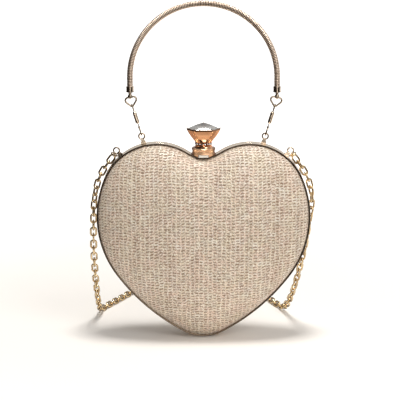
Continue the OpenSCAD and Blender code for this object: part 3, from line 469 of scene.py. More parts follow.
@dataclass(frozen=True)
class Layers:
    """Thicknesses of the frame, the cover, the pan and the lining."""

    lip: float = 1.2
    frame_deep: float = 6.0
    flange_deep: float = 2.4
    gap: float = 0.15
    cover: float = 0.6
    pan: float = 1.2
    lining: float = 0.5
    body_deep: float = 58.0

    @property
    def cover_in(self) -> float:
        """Gives the inset of the cover's rim."""
        return self.lip + self.gap

    @property
    def lining_in(self) -> float:
        """Gives the inset of the lining's rim."""
        return self.cover_in + self.cover + self.pan + 2 * self.gap

    @property
    def flange_in(self) -> float:
        """Gives the inset of the flange's inner edge."""
        return self.lining_in + self.lining

    @property
    def seat(self) -> float:
        """Gives the depth at which the domes sit on the flange."""
        return self.flange_deep + self.gap / 3


# ---------------------------------------------------------------------------------- finishes


class Wiring:
    """Places and joins the nodes of one material, world or group."""

    def __init__(self, tree: bpy.types.NodeTree) -> None:
        """Takes a node tree, and gives it its input and output nodes where it is a group.

        Args:
            tree: The node tree.
        """
        self.tree = tree
        self.inside = self.outside = None
        if any(item.in_out == "OUTPUT" for item in tree.interface.items_tree):
            self.inside = tree.nodes.new("NodeGroupInput")
            self.outside = tree.nodes.new("NodeGroupOutput")

    @staticmethod
    def fresh(owner: bpy.types.Material | bpy.types.World) -> "Wiring":
        """Empties the node tree of a material or world.

        Args:
            owner: The material or world.

        Returns:
            The wiring of its empty tree.
        """
        owner.use_nodes = True
        owner.node_tree.nodes.clear()
        return Wiring(owner.node_tree)

    def node(self, kind: str, **settings: object) -> bpy.types.Node:
        """Adds a node.

        Args:
            kind: Type of the node.
            settings: The node's settings by name.

        Returns:
            The node.
        """
        made = self.tree.nodes.new(kind)
        for key, value in settings.items():
            setattr(made, key, value)
        return made

    def join(self, value: object, socket: bpy.types.NodeSocket) -> None:
        """Feeds a socket with another socket, or sets it to a plain value.

        Args:
            value: The other socket or the value. None leaves the socket as it is.
            socket: The socket.
        """
        if isinstance(value, bpy.types.NodeSocket):
            self.tree.links.new(value, socket)
        elif value is not None:
            socket.default_value = value

    def fed(self, kind: str, output: str, **inputs: object) -> bpy.types.NodeSocket:
        """Adds a node and feeds its inputs.

        Args:
            kind: Type of the node.
            output: Name of the wanted output.
            inputs: Values or sockets for the node's inputs, by name.

        Returns:
            The wanted output.
        """
        made = self.node(kind)
        for name, value in inputs.items():
            self.join(value, made.inputs[name])
        return made.outputs[output]

    def input(self, name: str) -> bpy.types.NodeSocket:
        """Gives an input of the group."""
        return self.inside.outputs[name]

    def output(self, name: str, value: object) -> None:
        """Feeds an output of the group."""
        self.join(value, self.outside.inputs[name])

    def place(self) -> bpy.types.NodeSocket:
        """Gives the place on the piece."""
        return self.node("ShaderNodeTexCoord").outputs["Object"]

    def math(self, kind: str, *values: object) -> bpy.types.NodeSocket:
        """Adds a Math node.

        Args:
            kind: The operation.
            values: The values or sockets that it works on.

        Returns:
            The result.
        """
        made = self.node("ShaderNodeMath", operation=kind)
        for value, socket in zip(values, made.inputs):
            self.join(value, socket)
        return made.outputs[0]

    def times(self, first: object, second: object) -> bpy.types.NodeSocket:
        """Gives the product of two values."""
        return self.math("MULTIPLY", first, second)

    def times_add(self, first: object, second: object, third: object) -> bpy.types.NodeSocket:
        """Gives the product of two values with a third added."""
        return self.math("MULTIPLY_ADD", first, second, third)

    def centred(self, value: object) -> bpy.types.NodeSocket:
        """Moves a value of 0 to 1, so that its middle is 0."""
        return self.math("SUBTRACT", value, 0.5)

    def scaled(self, vector: object, share: Place) -> bpy.types.NodeSocket:
        """Scales a vector along its three axes.

        Args:
            vector: The vector.
            share: Scale along each axis.

        Returns:
            The scaled vector.
        """
        made = self.node("ShaderNodeVectorMath", operation="MULTIPLY")
        self.join(vector, made.inputs[0])
        self.join(share, made.inputs[1])
        return made.outputs[0]

    def split(self, vector: object) -> tuple[bpy.types.NodeSocket, ...]:
        """Parts a vector or colour.

        Args:
            vector: The vector or colour.

        Returns:
            Its three parts.
        """
        made = self.node("ShaderNodeSeparateXYZ")
        self.join(vector, made.inputs[0])
        return tuple(made.outputs)

    def noise(self, vector: object, scale: float, detail: float, roughness: float) -> bpy.types.NodeSocket:
        """Gives a cloudy value."""
        return self.fed("ShaderNodeTexNoise", "Fac", Vector=vector, Scale=scale, Detail=detail, Roughness=roughness)

    def chance(self, first: object, second: object, kind: str = "Value") -> bpy.types.NodeSocket:
        """Gives a random value that belongs to a pair of numbers.

        Args:
            first: First number.
            second: Second number, 0 if it is None.
            kind: Value, or Color for three values.

        Returns:
            The value or colour.
        """
        pair = self.fed("ShaderNodeCombineXYZ", "Vector", X=first, Y=second)
        made = self.node("ShaderNodeTexWhiteNoise", noise_dimensions="2D")
        self.join(pair, made.inputs["Vector"])
        return made.outputs[kind]

    def ramp(self, value: object, low: float, high: float) -> bpy.types.NodeSocket:
        """Maps a value softly.

        Args:
            value: The value.
            low: Where the result is 0.
            high: Where the result is 1. It may lie under low.

        Returns:
            The result, from 0 to 1.
        """
        made = self.node("ShaderNodeMapRange", interpolation_type="SMOOTHSTEP")
        self.join(value, made.inputs["Value"])
        levels = (low, high, 0, 1) if low < high else (high, low, 1, 0)
        for name, level in zip(("From Min", "From Max", "To Min", "To Max"), levels):
            made.inputs[name].default_value = level
        return made.outputs["Result"]

    def mix(self, share: object, first: object, second: object) -> bpy.types.NodeSocket:
        """Mixes two colours.

        Args:
            share: Share of the second colour.
            first: First colour.
            second: Second colour.

        Returns:
            The mixed colour.
        """
        made = self.node("ShaderNodeMix", data_type="RGBA")
        for name, value in (("Factor", share), ("A", first), ("B", second)):
            self.join((*value, 1) if isinstance(value, tuple) else value, made.inputs[name])
        return made.outputs["Result"]

    def bump(self, height: object, strength: object, distance: float) -> bpy.types.NodeSocket:
        """Turns a height into a normal."""
        return self.fed("ShaderNodeBump", "Normal", Height=height, Strength=strength, Distance=distance)

    def group(self, tree: bpy.types.NodeTree, **values: object) -> bpy.types.Node:
        """Places a group.

        Args:
            tree: The group.
            values: Values or sockets for its inputs, by name.

        Returns:
            The group's node.
        """
        made = self.node("ShaderNodeGroup", node_tree=tree)
        for name, value in values.items():
            self.join((*value, 1) if isinstance(value, tuple) else value, made.inputs[name])
        return made

    def chosen(self, share: object, first: object, second: object) -> bpy.types.NodeSocket:
        """Chooses between two shaders.

        Args:
            share: 0 for the first shader, 1 for the second.
            first: First shader.
            second: Second shader.

        Returns:
            The mixed shader.
        """
        made = self.node("ShaderNodeMixShader")
        for value, socket in zip((share, first, second), made.inputs):
            self.join(value, socket)
        return made.outputs[0]


class Groups:
    """Shader node groups that several finishes share, each built once."""

    @staticmethod
    def start(name: str, inputs: Sequence[tuple[str, str, object]], outputs: Sequence[tuple[str, str]]) -> Wiring:
        """Opens a new group with its sockets.

        Args:
            name: Name of the group.
            inputs: Name, kind and first value of each input.
            outputs: Name and kind of each output.

        Returns:
            The wiring of the new group.
        """
        tree = bpy.data.node_groups.new(name, "ShaderNodeTree")
        for label, kind, value in inputs:
            socket = tree.interface.new_socket(name=label, in_out="INPUT", socket_type="NodeSocket" + kind)
            if value is not None:
                socket.default_value = value
        for label, kind in outputs:
            tree.interface.new_socket(name=label, in_out="OUTPUT", socket_type="NodeSocket" + kind)
        return Wiring(tree)

    @staticmethod
    @cache
    def wear() -> bpy.types.NodeTree:
        """Builds the group that wears and tarnishes polished metal.

        Returns:
            The group.
        """
        w = Groups.start(
            "metal_wear",
            [
                ("Vector", "Vector", None), ("Bright", "Color", (0.9, 0.8, 0.6, 1)),
                ("Deep", "Color", (0.6, 0.5, 0.3, 1)), ("Polish", "Float", 0.2), ("Tarnish", "Float", 0.3),
                ("Scratches", "Float", 0.2),
            ],
            [("Colour", "Color"), ("Roughness", "Float"), ("Normal", "Vector")],
        )
        spot = w.input("Vector")
        cloud = w.noise(spot, 90, 4, 0.6)
        fine = w.noise(spot, 900, 3, 0.7)
        hair = w.noise(w.scaled(spot, (2600, 2600, 300)), 1, 2, 0.5)
        mask = w.times(w.ramp(cloud, 0.42, 0.68), w.input("Tarnish"))
        w.output("Colour", w.mix(mask, w.input("Bright"), w.input("Deep")))
        rough = w.times_add(w.ramp(fine, 0.35, 0.75), 0.12, w.input("Polish"))
        w.output("Roughness", w.times_add(mask, 0.18, rough))
        w.output("Normal", w.bump(hair, w.times(w.input("Scratches"), 0.3), 0.04 * MM))
        return w.tree

    @staticmethod
    @cache
    def weave() -> bpy.types.NodeTree:
        """Builds the group of upright ribs with short bars between them and small openings, which the cloth darkens
        as painted shade.

        Returns:
            The group.
        """
        w = Groups.start(
            "ladder_weave",
            [
                ("Vector", "Vector", None), ("Ribs", "Float", 280.0), ("Picks", "Float", 430.0),
                ("Wander", "Float", 0.5),
            ],
            [("Height", "Float"), ("Cell", "Color"), ("Rib", "Color")],
        )
        spot = w.input("Vector")
        x, y, _ = w.split(spot)
        drift = w.centred(w.noise(spot, 140, 2, 0.5))
        jitter = w.centred(w.noise(spot, 500, 2, 0.5))
        sway = w.times(w.times_add(jitter, 1.1, drift), w.input("Wander"))
        u = w.times_add(x, w.input("Ribs"), sway)
        column = w.math("FLOOR", u)
        across = w.centred(w.math("FRACT", u))
        lean = w.times_add(w.chance(column, 3.0), 0.9, -0.45)
        step = w.times(w.chance(column, None), 0.4)
        shift = w.math("ADD", step, w.times(across, lean))
        v = w.math("ADD", w.times_add(y, w.input("Picks"), shift), sway)
        along = w.centred(w.math("FRACT", v))
        rib = w.ramp(w.math("ABSOLUTE", across), 0.23, 0.45)
        bar = w.ramp(w.math("ABSOLUTE", along), 0.10, 0.30)
        w.output("Height", w.math("MAXIMUM", rib, w.times(bar, 0.9)))
        w.output("Cell", w.chance(column, w.math("FLOOR", v), "Color"))
        w.output("Rib", w.chance(w.math("ROUND", u), 7.0, "Color"))
        return w.tree


@dataclass(frozen=True)
class Finish:
    """A finish that builds its material once."""

    label: str

    @cache
    def material(self) -> bpy.types.Material:
        """Builds the material.

        Returns:
            The material, the same one each time.
        """
        made = bpy.data.materials.new(self.label)
        w = Wiring.fresh(made)
        shader = w.node("ShaderNodeBsdfPrincipled")
        end = w.node("ShaderNodeOutputMaterial")
        w.join(shader.outputs["BSDF"], end.inputs["Surface"])
        for name, value in self.looks(w).items():
            w.join(value, shader.inputs[name])
        return made

    def looks(self, w: Wiring) -> dict[str, object]:
        """Gives what feeds each input of the finish's shader."""
        raise NotImplementedError

    def dress(self, piece: bpy.types.Object) -> None:
        """Puts the finish on a piece, in place of what it has."""
        piece.data.materials.clear()
        piece.data.materials.append(self.material())


@dataclass(frozen=True)
class Plated(Finish):
    """Polished, plated metal with a little wear."""

    bright: Colour
    deep: Colour
    polish: float
    tarnish: float
    scratches: float = 0.3
    metallic: float = 1.0
    # Colour of the painted shade that a subclass's mask lays on the metal
    dark: Colour = (0.09, 0.06, 0.04)

    def painted_shade(self, w: Wiring) -> bpy.types.NodeSocket | None:
        """Gives the mask of the painted shade on the metal, if it has any."""
        return None

    def looks(self, w: Wiring) -> dict[str, object]:
        """Gives bright and worn metal with its painted shade.

        Args:
            w: The material's wiring.

        Returns:
            What feeds each input of the shader.
        """
        worn = w.group(
            Groups.wear(), Vector=w.place(), Bright=self.bright, Deep=self.deep, Polish=self.polish,
            Tarnish=self.tarnish, Scratches=self.scratches,
        ).outputs
        # Painted shade: a subclass's mask darkens the worn colour towards the dark colour
        colour, painted_shade = worn["Colour"], self.painted_shade(w)
        if painted_shade is not None:
            colour = w.mix(painted_shade, colour, self.dark)
        return {
            "Metallic": self.metallic, "Base Color": colour, "Roughness": worn["Roughness"],
            "Normal": worn["Normal"],
        }


@dataclass(frozen=True)
class Edged(Plated):
    """Plated metal with painted shade where it turns away from the eye."""

    rim: float = 0.5

    def painted_shade(self, w: Wiring) -> bpy.types.NodeSocket:
        """Gives the mask of the painted shade where the metal turns away."""
        return w.times(w.ramp(w.node("ShaderNodeLayerWeight").outputs["Facing"], 0.3, 0.75), self.rim)


@dataclass(frozen=True)
class Rimmed(Plated):
    """Plated metal with a painted shade line, at a distance from a level of one axis."""

    axis: int = 1
    middle: float = 0.0
    edge: Pair = (0.0, 1.0)

    def painted_shade(self, w: Wiring) -> bpy.types.NodeSocket:
        """Gives the mask of the painted shade line."""
        away = w.math("ABSOLUTE", w.math("SUBTRACT", w.split(w.place())[self.axis], self.middle))
        return w.times(w.ramp(away, *self.edge), 0.9)


@dataclass(frozen=True)
class Ribbed(Plated):
    """Plated metal with painted shade in the grooves between its ribs, by the mesh's crest attribute."""

    def painted_shade(self, w: Wiring) -> bpy.types.NodeSocket:
        """Gives the mask of the painted shade in the grooves."""
        crest = w.node("ShaderNodeAttribute", attribute_name="crest").outputs["Fac"]
        return w.times(w.ramp(crest, 0.85, 0.2), 0.9)


@dataclass(frozen=True)
class Woven(Finish):
    """Woven cloth of mixed yarns with glints of metal thread, partly painted highlight, and painted shade in its
    openings.
    """

    warp: Colour
    weft: Colour
    grey: Colour
    shade: Colour
    glint: Colour
    ribs: float = 280
    picks: float = 420
    wander: float = 0.65
    sparkle: float = 0.7
    rough: float = 0.6
    depth: float = 0.5 * MM

    def looks(self, w: Wiring) -> dict[str, object]:
        """Gives the yarns, their dark specks, the painted shade in their openings and their glints, partly painted
        highlight.

        Args:
            w: The material's wiring.

        Returns:
            What feeds each input of the shader.
        """
        flat = w.node("ShaderNodeUVMap", uv_map="UVMap").outputs["UV"]
        cloth = w.group(
            Groups.weave(), Vector=flat, Ribs=self.ribs, Picks=self.picks, Wander=self.wander
        ).outputs
        height = cloth["Height"]
        worn_cell, bright_cell, deep_cell = w.split(cloth["Cell"])
        dull_rib, _, _ = w.split(cloth["Rib"])
        patch = w.ramp(w.noise(flat, 75, 3, 0.65), 0.38, 0.62)
        cool = w.ramp(w.noise(w.scaled(flat, (1.0, 0.7, 1.0)), 110, 3, 0.6), 0.48, 0.66)
        yarn = w.mix(w.times(cool, 0.35), w.mix(patch, self.warp, self.weft), self.grey)
        bright_speck, dark_speck, high_speck = w.split(
            w.fed("ShaderNodeTexVoronoi", "Color", Vector=flat, Scale=1500)
        )
        dark = w.times_add(w.ramp(dark_speck, 0.45, 0.85), 0.46, w.times(w.ramp(dull_rib, 0.5, 1.0), 0.1))
        tone = w.mix(w.times_add(w.ramp(worn_cell, 0.4, 1.0), 0.14, dark), yarn, self.shade)
        # Painted highlight: a pale glint colour on random raised specks, with a little real metallic shine
        sparks = w.math("MAXIMUM", w.ramp(bright_speck, 0.66, 0.8), w.ramp(bright_cell, 0.95, 1.0))
        sparks = w.times(w.times(sparks, self.sparkle), w.ramp(height, 0.35, 0.8))
        # Painted shade: the weave's low openings are darkened towards the shade colour, though the cloth has no
        # real holes
        hole_shade = w.times(w.ramp(height, 0.72, 0.12), w.times_add(deep_cell, 0.4, 0.48))
        return {
            "Base Color": w.mix(hole_shade, w.mix(sparks, tone, self.glint), self.shade),
            "Metallic": w.times(sparks, 0.35),
            "Roughness": w.times_add(sparks, -0.1, self.rough),
            "Normal": w.bump(w.times_add(high_speck, 0.4, height), 0.7, self.depth),
            "Sheen Weight": 0.1,
            "Sheen Roughness": 0.4,
        }


@dataclass(frozen=True)
class Moulded(Finish):
    """Plain moulded plastic with a fine grain."""

    colour: Colour

    def looks(self, w: Wiring) -> dict[str, object]:
        """Gives the plastic's grain and faint clouds.

        Args:
            w: The material's wiring.

        Returns:
            What feeds each input of the shader.
        """
        spot = w.place()
        grain, cloud = w.noise(spot, 1500, 3, 0.6), w.noise(spot, 40, 2, 0.5)
        darker = tuple(0.85 * part for part in self.colour)
        return {
            "Base Color": w.mix(w.ramp(cloud, 0.3, 0.7), self.colour, darker),
            "Roughness": w.times_add(grain, 0.2, 0.4),
            "Normal": w.bump(grain, 0.2, 0.1 * MM),
        }


@dataclass(frozen=True)
class CutStone(Finish):
    """Clear cut crystal that turns grey towards its peak."""

    smoke: Pair
    tint: Colour = (0.70, 0.69, 0.67)
    grey: Colour = (0.30, 0.29, 0.28)

    def looks(self, w: Wiring) -> dict[str, object]:
        """Gives clear crystal with faint clouds.

        Args:
            w: The material's wiring.

        Returns:
            What feeds each input of the shader.
        """
        spot = w.place()
        cloud = w.noise(spot, 220, 2, 0.5)
        dim = tuple(0.80 * part for part in self.tint)
        _, _, high = w.split(spot)
        clear = w.mix(w.ramp(cloud, 0.35, 0.7), self.tint, dim)
        return {
            "Base Color": w.mix(w.ramp(high, *self.smoke), clear, self.grey),
            "Roughness": w.times(w.ramp(cloud, 0.5, 0.8), 0.04),
            "Transmission Weight": 0.6,
            "IOR": 1.7,
        }


# Each metal: bright and deep colour, polish and tarnish
GOLD_FRAME = Plated("frame_gold_metal", (0.88, 0.72, 0.56), (0.66, 0.50, 0.35), 0.12, 0.35)
# Painted shade: a dark line along the outer edge of the frame's lip, next to the cloth, stands in for the shaded
# gap and its dark reflection
GOLD_BAND = Rimmed(
    "frame_band_metal", (0.90, 0.76, 0.61), (0.70, 0.55, 0.40), 0.14, 0.35,
    middle=-LUG_Y * MM, edge=(0.0052, 0.0058),
)
ROSE = Plated("rose_metal", (0.90, 0.51, 0.31), (0.58, 0.27, 0.14), 0.08, 0.35)
# Darker copy of the rose metal for the cup, as painted shade, with a painted shade line at its rim under the stone
ROSE_CUP = Rimmed(
    "rose_cup_metal", (0.90, 0.46, 0.24), (0.54, 0.23, 0.10), 0.1, 0.5,
    axis=2, middle=-0.09935, edge=(0.0007, 0.00045), dark=(0.10, 0.05, 0.025),
)
# Paler copy of the rose metal for the collar, as painted light, with painted shade on its left and right sides
ROSE_BASE = Rimmed(
    "rose_base_metal", (1.0, 0.63, 0.38), (0.84, 0.42, 0.21), 0.24, 0.35, metallic=0.6,
    axis=0, edge=(0.0062, 0.0084), dark=(0.14, 0.05, 0.02),
)
# Pale copy of the rose metal for the striker plate: a painted reflection of the bright surroundings
CREAM = Plated("striker_metal", (1.0, 0.95, 0.86), (0.94, 0.86, 0.74), 0.5, 0.3, metallic=0.3)
# Painted shade where the metal turns away from the eye
CHAMPAGNE = Edged("handle_metal", (0.78, 0.64, 0.49), (0.48, 0.37, 0.26), 0.2, 0.4, dark=(0.192, 0.148, 0.104))
# Painted shade in the grooves between the handle's ribs
RIBBED = Ribbed(
    "handle_ribbed_metal", (0.88, 0.72, 0.59), (0.62, 0.47, 0.36), 0.34, 0.4, dark=(0.16, 0.11, 0.07)
)
# Darker copies of the champagne metal, as painted shade, for the rings, wires, ferrules, claws and the shaded lugs
RING = Plated("ring_metal", (0.50, 0.41, 0.31), (0.18, 0.13, 0.09), 0.14, 0.6)
FERRULE = Plated("ferrule_metal", (0.42, 0.34, 0.26), (0.14, 0.10, 0.08), 0.16, 0.6)
# Painted shade where the links turn away from the eye
CHAIN_GOLD = Edged(
    "chain_gold_metal", (0.92, 0.72, 0.44), (0.42, 0.26, 0.10), 0.1, 0.55, dark=(0.168, 0.104, 0.04), rim=0.9
)
STEEL = Plated("steel_metal", (0.62, 0.62, 0.62), (0.40, 0.40, 0.42), 0.25, 0.5)
BEAD = Plated("bead_crystal", (0.75, 0.75, 0.78), (0.10, 0.10, 0.12), 0.06, 0.9)
# Each cloth: warp, weft, cool yarn, shade and glint; the shade darkens random specks and, as painted shade, the
# weave's openings, and the glint is partly a painted highlight
CLOTH = Woven(
    "woven_cover_cloth", (0.84, 0.66, 0.53), (0.82, 0.70, 0.54), (0.71, 0.66, 0.60), (0.21, 0.115, 0.055),
    (1.0, 0.96, 0.87),
)
LINING = Woven(
    "lining_satin", (0.66, 0.58, 0.48), (0.62, 0.54, 0.44), (0.62, 0.56, 0.48), (0.45, 0.38, 0.30),
    (0.74, 0.67, 0.57), ribs=1600, picks=1600, wander=0.1, sparkle=0.1, rough=0.4, depth=0.06 * MM,
)
PAN = Moulded("pan_plastic", (0.32, 0.30, 0.28))
CRYSTAL = CutStone("stone_crystal", (-0.0972, -0.0952))


def finish(piece: bpy.types.Object, look: Finish, slot: str, *nodes: str, body: Body | None) -> None:
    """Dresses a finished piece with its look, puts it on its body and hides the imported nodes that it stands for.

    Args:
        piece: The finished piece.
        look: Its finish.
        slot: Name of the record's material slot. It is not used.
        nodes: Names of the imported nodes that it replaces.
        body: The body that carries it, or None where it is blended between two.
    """
    look.dress(piece)
    if body is not None:
        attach(piece, body.value)
    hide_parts(*nodes)
    LOG.info("piece %s: %d faces", piece.name, len(piece.data.polygons))


# ------------------------------------------------------------------------------------- pieces


@dataclass
class FrameHalves:
    """The two rounded metal frames, each a lip with a flange for the pan."""

    outline: HeartOutline
    layers: Layers
    parting: float = 0.15
    barrel_r: float = 2.2
    play: float = 0.3
    steps: tuple[int, ...] = (10, 34, 20, 14, 8)

    def section(self, face: Face) -> list[Pair]:
        """Lays out the frame's section: its rounded lip, its inner wall and its flange.

        Args:
            face: Front or back.

        Returns:
            Outward and backward distance of each corner.
        """
        lip, deep = self.layers.lip, self.layers.frame_deep - self.parting
        shares = (
            (-0.30, 0), (-0.14, 0.03), (-0.04, 0.09), (0, 0.2), (0, 0.80), (-0.03, 0.90), (-0.09, 0.96),
            (-0.18, 0.995), (-0.28, 1), (-0.92, 0.97), (-0.98, 0.94),
        )
        points = [(u * lip, self.parting + v * deep) for u, v in shares]
        flange, inner = self.layers.flange_deep, self.layers.flange_in
        points += [(-lip, flange + lip), (-lip, flange), (-inner, flange), (-inner, self.parting)]
        return [(u, face.value * y) for u, y in points]

    def make_room(self, piece: bpy.types.Object, face: Face) -> None:
        """Cuts the hinge's room out of a frame at the tip.

        Args:
            piece: The frame.
            face: Front or back.
        """
        tip_r, deep = self.outline.arcs[-1].radius, self.barrel_r + self.play
        half = math.sqrt(tip_r ** 2 - (tip_r - self.barrel_r) ** 2) + self.play
        rise = 2 * self.layers.flange_in
        hole_r = self.barrel_r + 1.6 * self.play
        Bench.clear()
        bpy.ops.mesh.primitive_cylinder_add(
            vertices=48, radius=hole_r * MM, depth=2 * half * MM,
            location=at(0, 0, self.barrel_r), rotation=(0, math.radians(90), 0),
        )
        barrel = Bench.name("barrel_room")
        # The web's room reaches 1 mm past the parting plane and past the tip
        bpy.ops.mesh.primitive_cube_add(size=1, location=at(0, face.value * (deep - 1) / 2, (rise - 1) / 2))
        web = Bench.name("web_room")
        web.scale = (2 * half * MM, (deep + 1) * MM, (rise + 1) * MM)
        bpy.context.view_layer.update()
        for cutter in (barrel, web):
            Bench.modify(piece, "BOOLEAN", operation="DIFFERENCE", solver="EXACT", object=cutter)
            bpy.data.objects.remove(cutter)

    def build(self) -> None:
        """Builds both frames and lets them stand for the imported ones."""
        for face in Face:
            piece = Bench.swept(f"frame_band_{face.word}", self.section(face), self.outline.arcs, self.steps)
            self.make_room(piece, face)
            Bench.smooth(piece, 40)
            finish(piece, GOLD_BAND, "frame_gold", f"frame_{face.word}", body=face.body)


@dataclass
class DomedCloth:
    """The stretched covers and linings, each a dome that blends from the heart to an oval."""

    outline: HeartOutline
    layers: Layers
    power: float = 2.35
    oval: Pair = (0.44, 0.39)
    middle_share: float = 0.555
    steps: tuple[int, ...] = (8, 30, 18, 12, 6)
    rows: int = 40

    @property
    def middle(self) -> Vector:
        """Gives the middle of the dome in the outline's plane."""
        return Vector((0, self.outline.top * self.middle_share))

    def point(self, station: tuple[Vector, Vector], inset: float, depth: float, turn: float) -> Vector:
        """Gives a point of a dome.

        Args:
            station: Place and normal of the outline.
            inset: Inset of the dome's rim.
            depth: Rise of the dome over its seat.
            turn: 0 at the rim and 90 at the crown, in degrees.

        Returns:
            The point in the drawing: across, back and up, in millimetres.
        """
        k = max(math.cos(math.radians(turn)), 0) ** (2 / self.power)
        h = math.sin(math.radians(turn)) ** (2 / self.power)
        rim = station[0] - inset * station[1] - self.middle
        way = rim.normalized()
        oval = self.outline.top / math.hypot(way.x / self.oval[0], way.y / self.oval[1])
        reach = k * (k * rim.length + (1 - k) * oval)
        spot = self.middle + reach * way
        return Vector((spot.x, self.layers.seat + h * depth, spot.y))

    def sheet(self, name: str, face: Face, inset: float, thick: float) -> bpy.types.Object:
        """Shapes half of a sphere into one dome, lays its cloth flat in a map, and gives it a thickness.

        Args:
            name: Name of the piece.
            face: Front or back.
            inset: Inset of the cloth's rim.
            thick: Thickness of the cloth.

        Returns:
            The finished cloth.
        """
        stations = self.outline.loop(self.steps)
        count, rows = len(stations), self.rows
        depth = self.layers.body_deep / 2 - self.layers.seat - (inset - self.layers.cover_in)
        Bench.clear()
        bpy.ops.mesh.primitive_uv_sphere_add(segments=count, ring_count=2 * rows, radius=1)
        piece = Bench.name(name)
        # The cut lies just under the sphere's middle ring, which becomes the dome's rim
        shy = 1e-5
        with Bench.editing():
            bpy.ops.mesh.bisect(plane_co=(0, 0, -10 * shy), plane_no=(0, 0, 1), clear_inner=True, threshold=shy)
            Bench.pick(piece, lambda co: co.z < -shy)
            bpy.ops.mesh.delete(type="VERT")
        grid: dict[tuple[int, int], tuple[Vector, float]] = {}
        for j, station in enumerate(stations):
            reach, last = 0.0, None
            for i in range(rows, -1, -1):
                spot = self.point(station, inset, depth, 90 * i / rows)
                reach += (spot - last).length if last is not None else 0
                grid[i, j], last = (spot, reach), spot
        flat: list[Pair] = []
        for vertex in piece.data.vertices:
            i = round(math.degrees(math.asin(max(-1, min(1, vertex.co.z)))) / 90 * rows)
            j = round(-math.degrees(math.atan2(vertex.co.y, vertex.co.x)) / 360 * count) % count
            spot, reach = grid[i, j]
            way = (stations[j][0] - self.middle).normalized() * reach * MM
            flat.append(tuple(way))
            vertex.co = at(spot.x, face.value * spot.y, spot.z)
        Bench.lay_flat(piece, flat)
        Bench.heal(piece)
        crown = max(piece.data.polygons, key=lambda polygon: face.value * polygon.center.y)
        if crown.normal.y * face.value < 0:
            piece.data.flip_normals()
        Bench.modify(piece, "SOLIDIFY", thickness=thick * MM, offset=-1)
        Bench.smooth(piece, 60)
        return piece

    def build(self) -> None:
        """Builds the covers and the linings of both halves."""
        layers = self.layers
        cloths = (
            ("cover", CLOTH, "woven_cover", layers.cover_in, layers.cover, (0.196, 0.188), 0.0262),
            ("lining", LINING, "lining_cloth", layers.lining_in, layers.lining, (0.188, 0.180), 0.0240),
        )
        for face in Face:
            for kind, look, slot, inset, thick, flat, area in cloths:
                piece = self.sheet(f"{kind}_cloth_{face.word}", face, inset, thick)
                finish(piece, look, slot, f"{kind}_{face.word}", body=face.body)


@dataclass
class Gussets:
    """The folded cloth between the two frames, one piece down each side."""

    outline: HeartOutline
    layers: Layers
    fold_share: float = 2.0
    hem: float = 0.4
    thick: float = 0.35
    crease: float = 0.25
    crease_turn: float = 1.9
    play: float = 0.05
    steps: tuple[int, ...] = (3, 12, 7, 4, 2)
    fine: int = 6
    cut: Pair = (0.0015, 0.0016)

    @property
    def fold(self) -> list[Pair]:
        """Gives the section of the fold, from the back frame in to its crest and out to the front one.

        Returns:
            Outward and backward distance of each point.
        """
        layers = self.layers
        root = -layers.flange_in - self.play
        deep = self.fold_share * layers.flange_in
        edge = layers.flange_deep - layers.gap - self.thick
        shares = ((0.35, 0.9), (0.7, 0.55), (0.93, 0.2), (0.97, 0.0))
        back = [(root - self.hem, edge), *((root - u * deep, edge * v) for u, v in shares)]
        return back + [(u, -y) for u, y in back[-2::-1]]

    def build(self) -> None:
        """Builds both gussets, each a strip with one deep fold and small creases."""
        # A gusset runs from below the lobe to above the hinge
        half = self.outline.half(tuple(count * self.fine for count in self.steps))
        first = (self.steps[0] + self.steps[1] - 2) * self.fine
        last = (sum(self.steps) - self.steps[4] - 1) * self.fine
        span, fold = half[first:last + 1], self.fold
        long, wide = len(span) - 1, len(fold) - 1
        for side in Side:
            Bench.clear()
            bpy.ops.mesh.primitive_grid_add(x_subdivisions=long, y_subdivisions=wide, size=2)
            piece = Bench.name(f"gusset_cloth_{side.word}")
            flat: list[Pair] = []
            for vertex in piece.data.vertices:
                i = round((vertex.co.x + 1) / 2 * long)
                j = round((vertex.co.y + 1) / 2 * wide)
                (spot, normal), (out, back) = span[i], fold[j]
                out += self.crease * math.sin(i * self.crease_turn) * math.sin(math.pi * j / wide)
                spot = spot + normal * out
                vertex.co = at(side.value * spot.x, back, spot.y)
                flat.append((i * self.cut[0], j * self.cut[1]))
            Bench.lay_flat(piece, flat)
            Bench.modify(piece, "SOLIDIFY", thickness=self.thick * MM, offset=0)
            Bench.smooth(piece, 70)
            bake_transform(piece)
            finish(piece, LINING, "lining_cloth", f"gusset_{side.word}", body=None)


